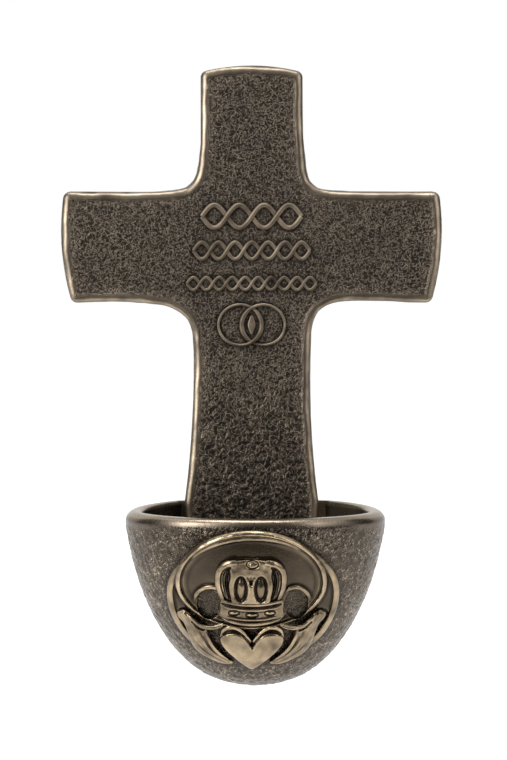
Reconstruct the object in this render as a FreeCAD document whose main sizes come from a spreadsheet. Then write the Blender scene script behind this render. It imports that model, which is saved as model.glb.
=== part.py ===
import FreeCAD, Part
import math
import os
import re
import Sketcher
from FreeCAD import Matrix, Placement, Rotation, Vector

# Holy water stoup: a wall cross that carries a half-egg bowl on its foot, with a crowned heart held by
# two hands on the bowl and two linked rings and three plaits on the cross.
#
# Frame: X to the right, Z up, -Y out of the wall towards the room. The wall plane is Y = 0, and the
# origin lies on it, behind the middle of the crossing. Millimetres.

os.makedirs("parts", exist_ok=True)
doc = FreeCAD.newDocument("holy_water_stoup")

# ---------------------------------------------------------------- driving dimensions

SIZES = [
    # the cross, a flat casting with flared ends
    ("cross_width", 114.6),          # over the tips of the arms
    ("cross_top", 54.5),             # from the middle of the crossing up to the crown of the top arm
    ("arm_height", 32.9),            # arms where they leave the crossing
    ("arm_tip_height", 33.4),        # arms at their tips
    ("top_arm_width", 30.6),
    ("stem_waist_width", 35.2),      # narrowest part of the stem
    ("waist_drop", 37.0),            # its distance below the crossing
    ("stem_foot_width", 40.5),       # stem where it enters the bowl
    ("cross_thickness", 10.0),
    ("arm_end_radius", 75.0),        # bulge of the arm ends
    ("arm_end_rise", 5.0),           # the bulge is fullest this far above the middle of the arm
    ("top_end_radius", 60.0),
    ("tip_corner_radius", 2.2),
    ("upper_corner_radius", 10.5),   # inside corners between the top arm and the arms
    ("lower_corner_radius", 10.5),   # inside corners between the arms and the stem
    ("cross_edge_round", 1.6),       # worn front edge
    ("face_border", 3.0),            # smooth border round the textured face
    ("face_recess", 0.35),           # the textured face lies this much below the border
    # the bowl, half an egg cut flat by the wall
    ("rim_drop", 77.1),              # rim below the middle of the crossing
    ("bowl_width", 77.2),
    ("bowl_reach", 57.0),            # from the wall to the front of the rim
    ("widest_reach", 30.0),          # from the wall to the widest part
    ("bowl_height", 53.4),
    ("bowl_wall", 5.0),
    ("bowl_floor", 5.0),
    ("bowl_lean", 0.16),             # the egg drifts back by this much per millimetre of depth
    ("rim_round", 3.0),
    ("rim_inner_round", 1.5),
    # the lap joint between the two
    ("back_wall", 5.0),              # bowl behind the foot of the cross
    ("foot_length", 24.0),           # foot below the rim
    ("seat_fit", 0.1),               # clearance of pieces let into a casting
    ("blind_cover", 1.5),            # metal left in front of a blind hole
    ("screw_gap", 20.0),             # between the two bowl screws
    ("screw_drop", 7.0),             # below the rim
    ("screw_diameter", 3.0),
    ("screw_head_diameter", 5.6),
    ("screw_head_sink", 0.2),        # heads lie this far below the wall plane
    ("screw_tip_gap", 0.5),          # between a screw's tip and the end of its blind hole
    ("thread_play", 0.05),
    ("insert_diameter", 4.6),
    ("dowel_gap", 18.0),
    ("dowel_drop", 18.5),
    ("dowel_diameter", 3.0),
    # the hanger
    ("plate_width", 16.0),
    ("plate_length", 32.0),
    ("plate_thickness", 1.5),
    ("plate_drop", 23.0),            # middle of the plate below the top of the cross
    ("plate_corner_radius", 2.0),
    ("keyhole_entry_diameter", 8.5),
    ("keyhole_slot_width", 4.2),
    ("keyhole_travel", 9.0),         # from the entry up to where the nail rests
    ("nail_pocket_width", 10.0),
    ("nail_pocket_depth", 5.0),      # below the wall plane
    ("plate_screw_inset", 3.6),      # from the end of the plate
    ("plate_screw_diameter", 2.0),
    ("plate_screw_head", 3.8),
    ("plate_screw_length", 6.0),
    # the ornament of the cross
    ("rings_drop", 23.3),            # linked rings below the middle of the crossing
    ("rings_gap", 7.1),              # between the two centres
    ("link_width", 13.8),
    ("link_height", 12.9),
    ("link_wire", 1.2),
    ("almond_width", 2.6),
    ("almond_height", 5.8),
    ("ornament_rise", 1.0),          # above the textured face
    ("crossing_gap", 0.12),          # between a ring and the one that passes over it
    ("peg_diameter", 1.4),
    ("peg_length", 1.6),
    # the emblem of the bowl, heights above the egg and levels below the rim
    ("hoop_rise", 1.7),
    ("hoop_inside_rise", 0.8),
    ("hand_rise", 2.4),
    ("crown_rise", 3.0),
    ("heart_rise", 3.4),
    ("hoop_drop", 20.0),             # widest level of the hoop's bright front edge
    ("hoop_half_width", 22.5),
    ("hoop_above", 17.3),
    ("hoop_below", 12.3),
    ("hoop_band", 2.6),              # width of that edge
    ("flank_drop", 23.0),            # widest level of the hoop's side
    ("flank_half_width", 25.3),
    ("flank_above", 19.5),
    ("flank_below", 21.7),
    ("emblem_fit", 0.15),            # gap between neighbouring pieces of the emblem
    ("emblem_peg_length", 1.6),
    ("crown_window_depth", 1.0),
]

sheet = doc.addObject("Spreadsheet::Sheet", "sizes")
for row, (alias, value) in enumerate(SIZES, start=1):
    sheet.set("A%d" % row, alias)
    sheet.set("B%d" % row, str(value))
    sheet.setAlias("B%d" % row, alias)
doc.recompute()


def size(alias):
    """A driving dimension, read back from the sheet."""
    return float(getattr(sheet, alias))


ALIAS = re.compile(r"\b(%s)\b" % "|".join(alias for alias, _ in SIZES))


def expr(text):
    """Turns the aliases of a formula into references to the sheet."""
    return ALIAS.sub(r"sizes.\1", text)


OUT_OF_WALL = Rotation(Vector(1, 0, 0), 90)     # turns a local Z axis to -Y, out of the wall
WALL_TO_ROOM = Vector(0, -1, 0)

# ---------------------------------------------------------------- helpers


def bind(thing, **formulas):
    """Binds properties to formulas of the sheet's aliases."""
    for name, formula in formulas.items():
        thing.setExpression(name.replace("__", "."), expr(formula))


def primitive(kind, name, at, turn=None, **formulas):
    """A Part primitive at a place given by three formulas."""
    thing = doc.addObject("Part::" + kind, name)
    thing.Placement = Placement(Vector(), turn or Rotation())
    bind(thing, Placement__Base__x=at[0], Placement__Base__y=at[1], Placement__Base__z=at[2], **formulas)
    return thing


def rod(name, diameter, length, x="0", y="0", z="0"):
    """A cylinder that runs out of the wall from the level y."""
    return primitive("Cylinder", name, (x, y, z), OUT_OF_WALL, Radius="(%s) / 2" % diameter, Height=length)


def fuse(name, pieces):
    thing = doc.addObject("Part::MultiFuse", name)
    thing.Shapes = pieces
    return thing


def cut(name, base, tools):
    """Takes the tools from a base, one after the other."""
    for tool in tools:
        thing = doc.addObject("Part::Cut", name if tool is tools[-1] else name + "_before_" + tool.Name)
        thing.Base = base
        thing.Tool = tool
        thing.Refine = False
        base = thing
    return base


def group(name, pieces):
    """Identical loose pieces that share one node."""
    thing = doc.addObject("Part::Compound", name)
    thing.Links = pieces
    return thing


def shape_feature(name, shape):
    """A feature whose shape is worked out from the sheet in this file."""
    thing = doc.addObject("Part::Feature", name)
    thing.Shape = shape
    thing.Placement = Placement()
    return thing


def body_sketch(body, name, offset=None):
    """A sketch in the wall plane of a body, moved out of the wall by a formula."""
    sketch = body.newObject("Sketcher::SketchObject", name)
    wall = [feature for feature in body.Origin.OriginFeatures if feature.Role == "XZ_Plane"][0]
    sketch.AttachmentSupport = (wall, "")
    sketch.MapMode = "FlatFace"
    if offset:
        sketch.setExpression("AttachmentOffset.Base.z", expr(offset))
    return sketch


def number(formula):
    """The present value of a formula of the sheet's aliases."""
    value = sheet.evalExpression(formula)
    return float(getattr(value, "Value", value))


def dimension(sketch, kind, name, places, formula):
    """A named sketch constraint bound to a formula."""
    index = sketch.addConstraint(Sketcher.Constraint(kind, *places, number(formula)))
    sketch.renameConstraint(index, name)
    sketch.setExpression("Constraints." + name, expr(formula))


def sketch_circle(sketch, name, x, z, diameter):
    """A circle fixed by its centre and diameter."""
    centre = Vector(number(x), number(z), 0)
    circle = sketch.addGeometry(Part.Circle(centre, Vector(0, 0, 1), number(diameter) / 2))
    dimension(sketch, "DistanceX", name + "_x", (-1, 1, circle, 3), x)
    dimension(sketch, "DistanceY", name + "_z", (-1, 1, circle, 3), z)
    dimension(sketch, "Diameter", name + "_d", (circle,), diameter)


def sketch_box(sketch, name, left, bottom, right, top):
    """A rectangle fixed by two opposite corners."""
    low = Vector(number(left), number(bottom), 0)
    high = Vector(number(right), number(top), 0)
    corners = [low, Vector(high.x, low.y, 0), high, Vector(low.x, high.y, 0)]
    lines = [sketch.addGeometry(Part.LineSegment(corners[i], corners[(i + 1) % 4])) for i in range(4)]
    for i in range(4):
        sketch.addConstraint(Sketcher.Constraint("Coincident", lines[i], 2, lines[(i + 1) % 4], 1))
        level = "Horizontal" if i % 2 == 0 else "Vertical"
        sketch.addConstraint(Sketcher.Constraint(level, lines[i]))
    dimension(sketch, "DistanceX", name + "_left", (-1, 1, lines[0], 1), left)
    dimension(sketch, "DistanceY", name + "_low", (-1, 1, lines[0], 1), bottom)
    dimension(sketch, "DistanceX", name + "_right", (-1, 1, lines[1], 2), right)
    dimension(sketch, "DistanceY", name + "_high", (-1, 1, lines[1], 2), top)


def pocket(body, sketch, name, depth, out_of_wall):
    """A pocket that must take material away, cut out of the wall or towards it."""
    doc.recompute()
    before = body.Shape.Volume
    feature = body.newObject("PartDesign::Pocket", name)
    feature.Profile = sketch
    feature.setExpression("Length", expr(depth))
    feature.Reversed = out_of_wall
    doc.recompute()
    if body.Shape.Volume > before - 1e-3:
        raise RuntimeError(name + " cuts nothing")
    return feature


# ---------------------------------------------------------------- the cross


def cross_outline(sketch):
    """The outline: three bulged ends, a waisted stem and a straight foot, mirrored about the middle."""
    half_top = number("top_arm_width / 2")
    foot = number("stem_foot_width / 2")
    waist = number("stem_waist_width / 2")
    stem_radius_text = ("((rim_drop - waist_drop)^2 + (stem_foot_width / 2 - stem_waist_width / 2)^2)"
                        " / (stem_foot_width - stem_waist_width)")
    stem_radius = number(stem_radius_text)
    end_radius = size("arm_end_radius")
    top_radius = size("top_end_radius")
    end_centre = Vector(size("cross_width") / 2 - end_radius, size("arm_end_rise"), 0)
    stem_centre = Vector(waist + stem_radius, -size("waist_drop"), 0)
    top_centre = Vector(0, size("cross_top") - top_radius, 0)

    def on_end(z):
        return Vector(end_centre.x + math.sqrt(end_radius ** 2 - (z - end_centre.y) ** 2), z, 0)

    def on_stem(z):
        return Vector(stem_centre.x - math.sqrt(stem_radius ** 2 - (z - stem_centre.y) ** 2), z, 0)

    top = Vector(half_top, top_centre.y + math.sqrt(top_radius ** 2 - half_top ** 2), 0)
    upper = Vector(half_top, size("arm_height") / 2, 0)
    tip_high = on_end(size("arm_tip_height") / 2)
    tip_low = on_end(-size("arm_tip_height") / 2)
    lower = on_stem(-size("arm_height") / 2)
    rim = Vector(foot, -size("rim_drop"), 0)
    toe = Vector(foot, -size("rim_drop") - size("foot_length"), 0)

    def flip(point):
        return Vector(-point.x, point.y, 0)

    def line(start, end):
        return sketch.addGeometry(Part.LineSegment(start, end))

    def arc(centre, radius, start, end):
        first = math.atan2(start.y - centre.y, start.x - centre.x)
        last = math.atan2(end.y - centre.y, end.x - centre.x)
        if last < first:
            last += 2 * math.pi
        return sketch.addGeometry(Part.ArcOfCircle(Part.Circle(centre, Vector(0, 0, 1), radius), first, last))

    def tie(kind, *places):
        sketch.addConstraint(Sketcher.Constraint(kind, *places))

    top_arc = arc(top_centre, top_radius, top, flip(top))
    sides = {}
    for side, mirror in (("right", lambda point: point), ("left", flip)):
        right = side == "right"
        arm_centre = mirror(end_centre)
        waist_centre = mirror(stem_centre)
        arm_ends = (mirror(tip_low), mirror(tip_high)) if right else (mirror(tip_high), mirror(tip_low))
        stem_ends = (mirror(lower), mirror(rim)) if right else (mirror(rim), mirror(lower))
        sides[side] = {
            "top": line(mirror(top), mirror(upper)),
            "shoulder": line(mirror(upper), mirror(tip_high)),
            "end": arc(arm_centre, end_radius, *arm_ends),
            "under": line(mirror(tip_low), mirror(lower)),
            "stem": arc(waist_centre, stem_radius, *stem_ends),
            "foot": line(mirror(rim), mirror(toe)),
        }
    sole = line(toe, flip(toe))

    # joints of the outline; an arc on the left runs the other way round
    for side, high, low in (("right", 2, 1), ("left", 1, 2)):
        part = sides[side]
        tie("Coincident", part["top"], 1, top_arc, 1 if side == "right" else 2)
        tie("Coincident", part["top"], 2, part["shoulder"], 1)
        tie("Coincident", part["shoulder"], 2, part["end"], high)
        tie("Coincident", part["end"], low, part["under"], 1)
        tie("Coincident", part["under"], 2, part["stem"], low)
        tie("Coincident", part["stem"], high, part["foot"], 1)
        tie("Coincident", part["foot"], 2, sole, 1 if side == "right" else 2)
    right = sides["right"]
    left = sides["left"]
    for name, place in (("top", 2), ("shoulder", 2), ("foot", 1), ("foot", 2), ("end", 3), ("stem", 3)):
        tie("Symmetric", right[name], place, left[name], place, -2)
    for name, place in (("top", 1), ("under", 1), ("under", 2)):
        tie("Horizontal", right[name], place, left[name], place)
    tie("PointOnObject", top_arc, 3, -2)
    dimension(sketch, "Radius", "top_radius", (top_arc,), "top_end_radius")
    dimension(sketch, "DistanceY", "top_centre", (-1, 1, top_arc, 3), "cross_top - top_end_radius")
    dimension(sketch, "DistanceX", "top_side", (-1, 1, right["top"], 1), "top_arm_width / 2")
    dimension(sketch, "DistanceX", "upper_x", (-1, 1, right["top"], 2), "top_arm_width / 2")
    dimension(sketch, "DistanceY", "upper_z", (-1, 1, right["top"], 2), "arm_height / 2")
    dimension(sketch, "DistanceY", "tip_high", (-1, 1, right["shoulder"], 2), "arm_tip_height / 2")
    dimension(sketch, "Radius", "end_radius", (right["end"],), "arm_end_radius")
    dimension(sketch, "DistanceX", "end_x", (-1, 1, right["end"], 3), "cross_width / 2 - arm_end_radius")
    dimension(sketch, "DistanceY", "end_z", (-1, 1, right["end"], 3), "arm_end_rise")
    dimension(sketch, "DistanceY", "tip_low", (-1, 1, right["under"], 1), "-arm_tip_height / 2")
    dimension(sketch, "DistanceY", "lower_z", (-1, 1, right["under"], 2), "-arm_height / 2")
    dimension(sketch, "Radius", "stem_radius", (right["stem"],), stem_radius_text)
    dimension(sketch, "DistanceY", "waist_z", (-1, 1, right["stem"], 3), "-waist_drop")
    dimension(sketch, "DistanceX", "foot_x", (-1, 1, right["foot"], 1), "stem_foot_width / 2")
    dimension(sketch, "DistanceY", "rim_z", (-1, 1, right["foot"], 1), "-rim_drop")
    dimension(sketch, "DistanceX", "toe_x", (-1, 1, right["foot"], 2), "stem_foot_width / 2")
    dimension(sketch, "DistanceY", "toe_z", (-1, 1, right["foot"], 2), "-rim_drop - foot_length")


def edges_where(shape, test):
    """Names of the edges whose middle point and direction pass a test."""
    names = []
    for index, edge in enumerate(shape.Edges, start=1):
        middle = edge.valueAt((edge.FirstParameter + edge.LastParameter) / 2)
        ends = [vertex.Point for vertex in edge.Vertexes]
        if test(middle, ends):
            names.append("Edge%d" % index)
    return names


def corner_edges(shape, kind):
    """The corner edges that run out of the wall: 'tip', 'upper' or 'lower' corners."""
    def test(middle, ends):
        if len(ends) != 2 or abs(ends[0].y - ends[1].y) < 1:
            return False
        inside = abs(middle.x) < size("top_arm_width")
        at_rim = abs(middle.z + size("rim_drop")) < 0.5
        if kind == "upper":
            return inside and abs(middle.z - size("arm_height") / 2) < 0.5
        if kind == "lower":
            return inside and abs(middle.z + size("arm_height") / 2) < 0.5
        arm_root = inside and abs(abs(middle.z) - size("arm_height") / 2) < 0.5
        return not arm_root and not at_rim
    return edges_where(shape, test)


def add_fillet(body, base, name, edges, radius):
    feature = body.newObject("PartDesign::Fillet", name)
    feature.Base = (base, edges)
    feature.setExpression("Radius", expr(radius))
    doc.recompute()
    return feature


LINK_Z = "-rings_drop"
PLATE_Z = "(cross_top - plate_drop)"
ENTRY_Z = "(cross_top - plate_drop - keyhole_travel / 2)"
NAIL_Z = "(cross_top - plate_drop + keyhole_travel / 2)"
PLATE_SCREW_Z = ("(cross_top - plate_drop + plate_length / 2 - plate_screw_inset)",
                 "(cross_top - plate_drop - plate_length / 2 + plate_screw_inset)")

# three plaits across the crossing; their heights and levels are shares of the height of the arms
PLAITS = {
    "plait_upper": {"width": 30.0, "height": 0.286, "level": 0.284, "loops": 4, "strand": 1.3},
    "plait_middle": {"width": 35.0, "height": 0.219, "level": -0.029, "loops": 7, "strand": 1.1},
    "plait_lower": {"width": 39.0, "height": 0.170, "level": -0.330, "loops": 10, "strand": 0.95},
}


def cross_pegs():
    """Name, x and z of every peg that an ornament has in the face of the cross."""
    pegs = [("link_left", "-(rings_gap + link_width - link_wire) / 2", LINK_Z),
            ("link_right", "(rings_gap + link_width - link_wire) / 2", LINK_Z),
            ("almond", "0", LINK_Z)]
    for name, plait in PLAITS.items():
        knot = plait["width"] / 2 - plait["width"] / plait["loops"]
        level = "%s * arm_height" % plait["level"]
        pegs.append((name + "_a", str(-knot), level))
        pegs.append((name + "_b", str(knot), level))
    return pegs


def make_cross():
    body = doc.addObject("PartDesign::Body", "cross_casting")
    outline = body_sketch(body, "cross_outline")
    cross_outline(outline)
    pad = body.newObject("PartDesign::Pad", "cross_pad")
    pad.Profile = outline
    pad.setExpression("Length", expr("cross_thickness"))
    doc.recompute()
    last = add_fillet(body, pad, "tip_corners", corner_edges(pad.Shape, "tip"), "tip_corner_radius")
    last = add_fillet(body, last, "upper_corners", corner_edges(last.Shape, "upper"), "upper_corner_radius")
    last = add_fillet(body, last, "lower_corners", corner_edges(last.Shape, "lower"), "lower_corner_radius")
    thickness = size("cross_thickness")
    flat = [face for face in last.Shape.Faces if abs(face.CenterOfMass.y + thickness) < 1e-6]
    recess_line = flat[0].makeOffset2D(-size("face_border"))
    front = edges_where(last.Shape, lambda middle, ends: abs(middle.y + thickness) < 1e-6)
    add_fillet(body, last, "worn_edge", front, "cross_edge_round")

    # the foot is halved from behind, so that the bowl's back wall passes behind it
    sketch = body_sketch(body, "lap_outline")
    sketch_box(sketch, "lap", "-stem_foot_width", "-rim_drop - 2 * foot_length",
               "stem_foot_width", "-rim_drop")
    pocket(body, sketch, "lap", "back_wall", True)
    # threaded inserts and dowels sit in blind holes in the foot
    sketch = body_sketch(body, "foot_holes")
    sketch_circle(sketch, "insert_a", "-screw_gap / 2", "-rim_drop - screw_drop", "insert_diameter")
    sketch_circle(sketch, "insert_b", "screw_gap / 2", "-rim_drop - screw_drop", "insert_diameter")
    sketch_circle(sketch, "dowel_a", "-dowel_gap / 2", "-rim_drop - dowel_drop", "dowel_diameter")
    sketch_circle(sketch, "dowel_b", "dowel_gap / 2", "-rim_drop - dowel_drop", "dowel_diameter")
    pocket(body, sketch, "foot_holes_cut", "cross_thickness - blind_cover", True)
    # the keyhole plate lies flush in the back, over a pocket for the nail's head
    sketch = body_sketch(body, "plate_seat")
    sketch_box(sketch, "seat", "-plate_width / 2 - seat_fit", PLATE_Z + " - plate_length / 2 - seat_fit",
               "plate_width / 2 + seat_fit", PLATE_Z + " + plate_length / 2 + seat_fit")
    pocket(body, sketch, "plate_seat_cut", "plate_thickness", True)
    sketch = body_sketch(body, "nail_pocket")
    sketch_box(sketch, "nail", "-nail_pocket_width / 2", ENTRY_Z + " - nail_pocket_width / 2",
               "nail_pocket_width / 2", NAIL_Z + " + nail_pocket_width / 2")
    pocket(body, sketch, "nail_pocket_cut", "nail_pocket_depth", True)
    sketch = body_sketch(body, "plate_screw_holes")
    for name, level in zip("ab", PLATE_SCREW_Z):
        sketch_circle(sketch, "screw_" + name, "0", level, "plate_screw_diameter")
    pocket(body, sketch, "plate_screw_holes_cut", "plate_screw_length", True)
    # blind holes for the pegs of the ornament
    sketch = body_sketch(body, "peg_holes", "cross_thickness")
    for name, x, z in cross_pegs():
        sketch_circle(sketch, name, x, z, "peg_diameter + 2 * seat_fit")
    pocket(body, sketch, "peg_holes_cut", "face_recess + peg_length + seat_fit", False)

    depth = size("face_recess")
    recess = shape_feature("face_recess_tool", recess_line.extrude(Vector(0, depth, 0)))
    return cut("cross", body, [recess])


# ---------------------------------------------------------------- the bowl


# the bowl's profile: (w / half_width)^WIDTH_POWER + (depth / height)^DEPTH_POWER = 1
WIDTH_POWER = 2.4
DEPTH_POWER = 1.6
PROFILE_STEPS = 10


def egg_point(half_width, height, angle):
    """A point of the profile; the angle runs from 0 at the rim to a right angle at the bottom."""
    width = half_width * math.cos(angle) ** (2 / WIDTH_POWER)
    depth = height * math.sin(angle) ** (2 / DEPTH_POWER)
    return Vector(width, 0, -depth)


def egg_profile(half_width, height, lip):
    """Closed half profile below the rim plane; lip > 0 rounds the rim off, lip < 0 flares it out."""
    reach = abs(lip)
    first = math.asin((reach / height) ** (DEPTH_POWER / 2))
    angles = [first + (math.pi / 2 - first) * step / PROFILE_STEPS for step in range(PROFILE_STEPS)]
    points = [egg_point(half_width, height, angle) for angle in angles]
    points.append(Vector(0, 0, -height))
    shell = Part.BSplineCurve()
    shell.interpolate(Points=points, InitialTangent=Vector(0, 0, -1), FinalTangent=Vector(-1, 0, 0))
    edges = [shell.toShape()]
    shoulder = points[0]
    if lip > 0:
        top = Vector(shoulder.x - reach, 0, 0)
        middle = Vector(shoulder.x - reach * (1 - math.sqrt(0.5)), 0, -reach * (1 - math.sqrt(0.5)))
        edges.append(Part.Arc(shoulder, middle, top).toShape())
        above = top
    elif lip < 0:
        top = Vector(shoulder.x + reach, 0, 0)
        middle = Vector(shoulder.x + reach * (1 - math.sqrt(0.5)), 0, -reach * (1 - math.sqrt(0.5)))
        edges.append(Part.Arc(shoulder, middle, top).toShape())
        above = Vector(top.x, 0, reach)
        edges.append(Part.LineSegment(top, above).toShape())
    else:
        above = shoulder
    axis_top = Vector(0, 0, above.z)
    edges.append(Part.LineSegment(above, axis_top).toShape())
    edges.append(Part.LineSegment(axis_top, points[-1]).toShape())
    return Part.Face(Part.Wire(Part.__sortEdges__(edges)))


def egg_half(face, half_width, reach, front):
    """Half a turn of the profile, squeezed to its reach, leaned back and set below the crossing."""
    turned = face.revolve(Vector(), Vector(0, 0, -1 if front else 1), 180)
    squeeze = reach / half_width
    lean = -size("bowl_lean")
    into_place = Matrix(1, 0, 0, 0,
                        0, squeeze, lean, -size("widest_reach"),
                        0, 0, 1, -size("rim_drop"),
                        0, 0, 0, 1)
    return turned.transformGeometry(into_place)


def egg(inset, lip, height_inset, sides=(True, False)):
    """The egg, inset from (or, if negative, raised above) the outside of the bowl."""
    half = size("bowl_width") / 2
    contact = size("stem_foot_width") / 2 + size("rim_round")
    front_reach = size("bowl_reach") - size("widest_reach")
    back_reach = size("widest_reach") / math.sqrt(1 - (contact / half) ** 2)
    profile = egg_profile(half - inset, size("bowl_height") - height_inset, lip)
    halves = []
    for front in sides:
        reach = front_reach if front else back_reach
        halves.append(egg_half(profile, half - inset, reach - inset, front))
    return halves[0] if len(halves) == 1 else halves[0].fuse(halves[1]).removeSplitter()


def room_side(depth):
    """Everything on the room side of a plane in front of the wall."""
    far = 4 * size("bowl_width")
    return Part.makeBox(2 * far, far, 2 * far, Vector(-far, -depth - far, -far))


SCREW_Z = "-rim_drop - screw_drop"
DOWEL_Z = "-rim_drop - dowel_drop"

# the emblem's places (x, depth below the rim) are drawn for a bowl of this width and height
EMBLEM_BOWL_WIDTH = 77.2
EMBLEM_BOWL_HEIGHT = 53.4
EMBLEM_PEGS = {
    "hoop": [(-14.5, 13.5), (14.5, 13.5)],
    "crown": [(-6.0, 14.5), (6.0, 14.5)],
    "crown_band": [(-5.5, 27.0), (5.5, 27.0)],
    "heart": [(-4.6, 35.5), (4.6, 35.5)],
    "left_hand": [(-16.0, 33.8)],
    "right_hand": [(16.0, 33.8)],
}


def egg_front(x, depth):
    """Y of the bowl's outside at a distance from the middle and a depth below the rim."""
    shrink = (1 - (depth / size("bowl_height")) ** DEPTH_POWER) ** (1 / WIDTH_POWER)
    half = size("bowl_width") / 2 * shrink
    reach = (size("bowl_reach") - size("widest_reach")) * shrink
    middle = -size("widest_reach") + size("bowl_lean") * depth
    return middle - reach * math.sqrt(1 - (x / half) ** 2)


def emblem_peg(x, depth, play):
    """A peg, or with play its hole, that runs from the bowl's outside towards the wall."""
    length = size("emblem_peg_length") + play
    radius = size("peg_diameter") / 2 + play
    rise = size("hoop_inside_rise") / 2
    start = Vector(x, egg_front(x, depth) - rise, -size("rim_drop") - depth)
    return Part.makeCylinder(radius, length + rise, start, Vector(0, 1, 0))


def emblem_place(x, depth):
    """Emblem places follow the bowl when its width or height changes."""
    return (x * size("bowl_width") / EMBLEM_BOWL_WIDTH, depth * size("bowl_height") / EMBLEM_BOWL_HEIGHT)


def peg_places(name):
    return [emblem_place(x, depth) for x, depth in EMBLEM_PEGS[name]]


def make_bowl():
    outside = egg(0, size("rim_round"), 0).common(room_side(0))
    inside = egg(size("bowl_wall"), -size("rim_inner_round"), size("bowl_floor"))
    basin = inside.common(room_side(size("back_wall")))
    drilled = outside.cut(basin)
    for name in EMBLEM_PEGS:
        for x, depth in peg_places(name):
            whole = drilled.Volume
            drilled = drilled.cut(emblem_peg(x, depth, size("seat_fit")))
            if drilled.Volume > whole - 1:
                raise RuntimeError("the hole for a peg of %s takes nothing from the bowl" % name)
    shell = shape_feature("bowl_shell", drilled)
    # the foot of the cross is let into the back of the basin
    seat = primitive("Box", "foot_seat", ("-stem_foot_width / 2 - seat_fit", "-cross_thickness",
                                          "-rim_drop - foot_length - seat_fit"),
                     Length="stem_foot_width + 2 * seat_fit", Width="cross_thickness - back_wall",
                     Height="foot_length + seat_fit + rim_round")
    tools = [seat]
    for side, sign in (("left", "-"), ("right", "")):
        x = sign + "screw_gap / 2"
        tools.append(rod("screw_hole_" + side, "screw_diameter + 2 * seat_fit", "back_wall + seat_fit",
                         x, "seat_fit / 2", SCREW_Z))
        tools.append(countersink("screw_sink_" + side, x, SCREW_Z, "screw_head_diameter", "screw_diameter",
                                 "screw_head_sink", "seat_fit"))
        tools.append(rod("dowel_hole_" + side, "dowel_diameter", "back_wall",
                         sign + "dowel_gap / 2", "-blind_cover", DOWEL_Z))
    return cut("bowl", shell, tools)


# ---------------------------------------------------------------- fasteners


def countersink(name, x, z, head, shank, sink, play):
    """The cone of a countersunk head with a short straight mouth that lets it lie below the wall plane."""
    cone = primitive("Cone", name + "_cone", (x, "-(%s)" % sink, z), OUT_OF_WALL,
                     Radius1="(%s) / 2 + %s" % (head, play), Radius2="(%s) / 2 + %s" % (shank, play),
                     Height="((%s) - (%s)) / 2" % (head, shank))
    mouth = rod(name + "_mouth", "(%s) + 2 * %s" % (head, play), "(%s) + 1" % sink, x, "1", z)
    return fuse(name, [cone, mouth])


def countersunk_screw(name, x, z, head, shank, sink, tip):
    """A slotted countersunk screw driven from the wall side; its tip ends at a distance from the wall."""
    cone = primitive("Cone", name + "_head", (x, "-(%s)" % sink, z), OUT_OF_WALL,
                     Radius1="(%s) / 2" % head, Radius2="(%s) / 2" % shank,
                     Height="((%s) - (%s)) / 2" % (head, shank))
    stem = rod(name + "_shank", shank, "(%s) - (%s)" % (tip, sink), x, "-(%s)" % sink, z)
    depth = "((%s) / 8)" % head
    width = "((%s) / 7)" % head
    slot = primitive("Box", name + "_slot", (x + " - (%s) / 2" % head, "-(%s) - %s" % (sink, depth),
                                             "%s - %s / 2" % (z, width)),
                     Length=head, Width=depth, Height=width)
    return cut(name, fuse(name + "_blank", [cone, stem]), [slot])


def make_fasteners():
    screws = []
    inserts = []
    dowels = []
    for side, sign in (("left", "-"), ("right", "")):
        x = sign + "screw_gap / 2"
        tip = "cross_thickness - blind_cover - screw_tip_gap"
        screws.append(countersunk_screw("bowl_screw_" + side, x, SCREW_Z, "screw_head_diameter",
                                        "screw_diameter", "screw_head_sink", tip))
        sleeve = rod("insert_body_" + side, "insert_diameter", "cross_thickness - blind_cover - back_wall",
                     x, "-back_wall", SCREW_Z)
        bore = rod("insert_bore_" + side, "screw_diameter + 2 * thread_play", "cross_thickness",
                   x, "0", SCREW_Z)
        inserts.append(cut("insert_" + side, sleeve, [bore]))
        dowels.append(rod("dowel_" + side, "dowel_diameter", "cross_thickness - 2 * blind_cover",
                          sign + "dowel_gap / 2", "-blind_cover", DOWEL_Z))
    group("bowl_screws", screws)
    group("threaded_inserts", inserts)
    group("locating_dowels", dowels)
    plate_screws = []
    for name, level in zip(("upper", "lower"), PLATE_SCREW_Z):
        plate_screws.append(countersunk_screw("plate_screw_" + name, "0", level, "plate_screw_head",
                                              "plate_screw_diameter", "0", "plate_screw_length"))
    group("keyhole_plate_screws", plate_screws)


def make_keyhole_plate():
    blank = primitive("Box", "plate_blank", ("-plate_width / 2", "-plate_thickness",
                                             PLATE_Z + " - plate_length / 2"),
                      Length="plate_width", Width="plate_thickness", Height="plate_length")
    doc.recompute()
    upright = edges_where(blank.Shape, lambda middle, ends: abs(ends[0].y - ends[1].y) > 0.5)
    rounded = doc.addObject("Part::Fillet", "plate_rounded")
    rounded.Base = blank
    radius = size("plate_corner_radius")
    rounded.Edges = [(int(edge[4:]), radius, radius) for edge in upright]
    entry = rod("keyhole_entry", "keyhole_entry_diameter", "plate_thickness + 2", "0", "1", ENTRY_Z)
    rest = rod("keyhole_rest", "keyhole_slot_width", "plate_thickness + 2", "0", "1", NAIL_Z)
    slot = primitive("Box", "keyhole_slot", ("-keyhole_slot_width / 2", "-plate_thickness - 1", ENTRY_Z),
                     Length="keyhole_slot_width", Width="plate_thickness + 2", Height="keyhole_travel")
    tools = [entry, rest, slot]
    for name, level in zip(("upper", "lower"), PLATE_SCREW_Z):
        tools.append(rod("plate_hole_" + name, "plate_screw_diameter + 2 * seat_fit", "plate_thickness + 2",
                         "0", "1", level))
        tools.append(countersink("plate_sink_" + name, "0", level, "plate_screw_head",
                                 "plate_screw_diameter", "0", "seat_fit"))
    cut("keyhole_plate", rounded, tools)


# ---------------------------------------------------------------- the ornament of the cross


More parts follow.
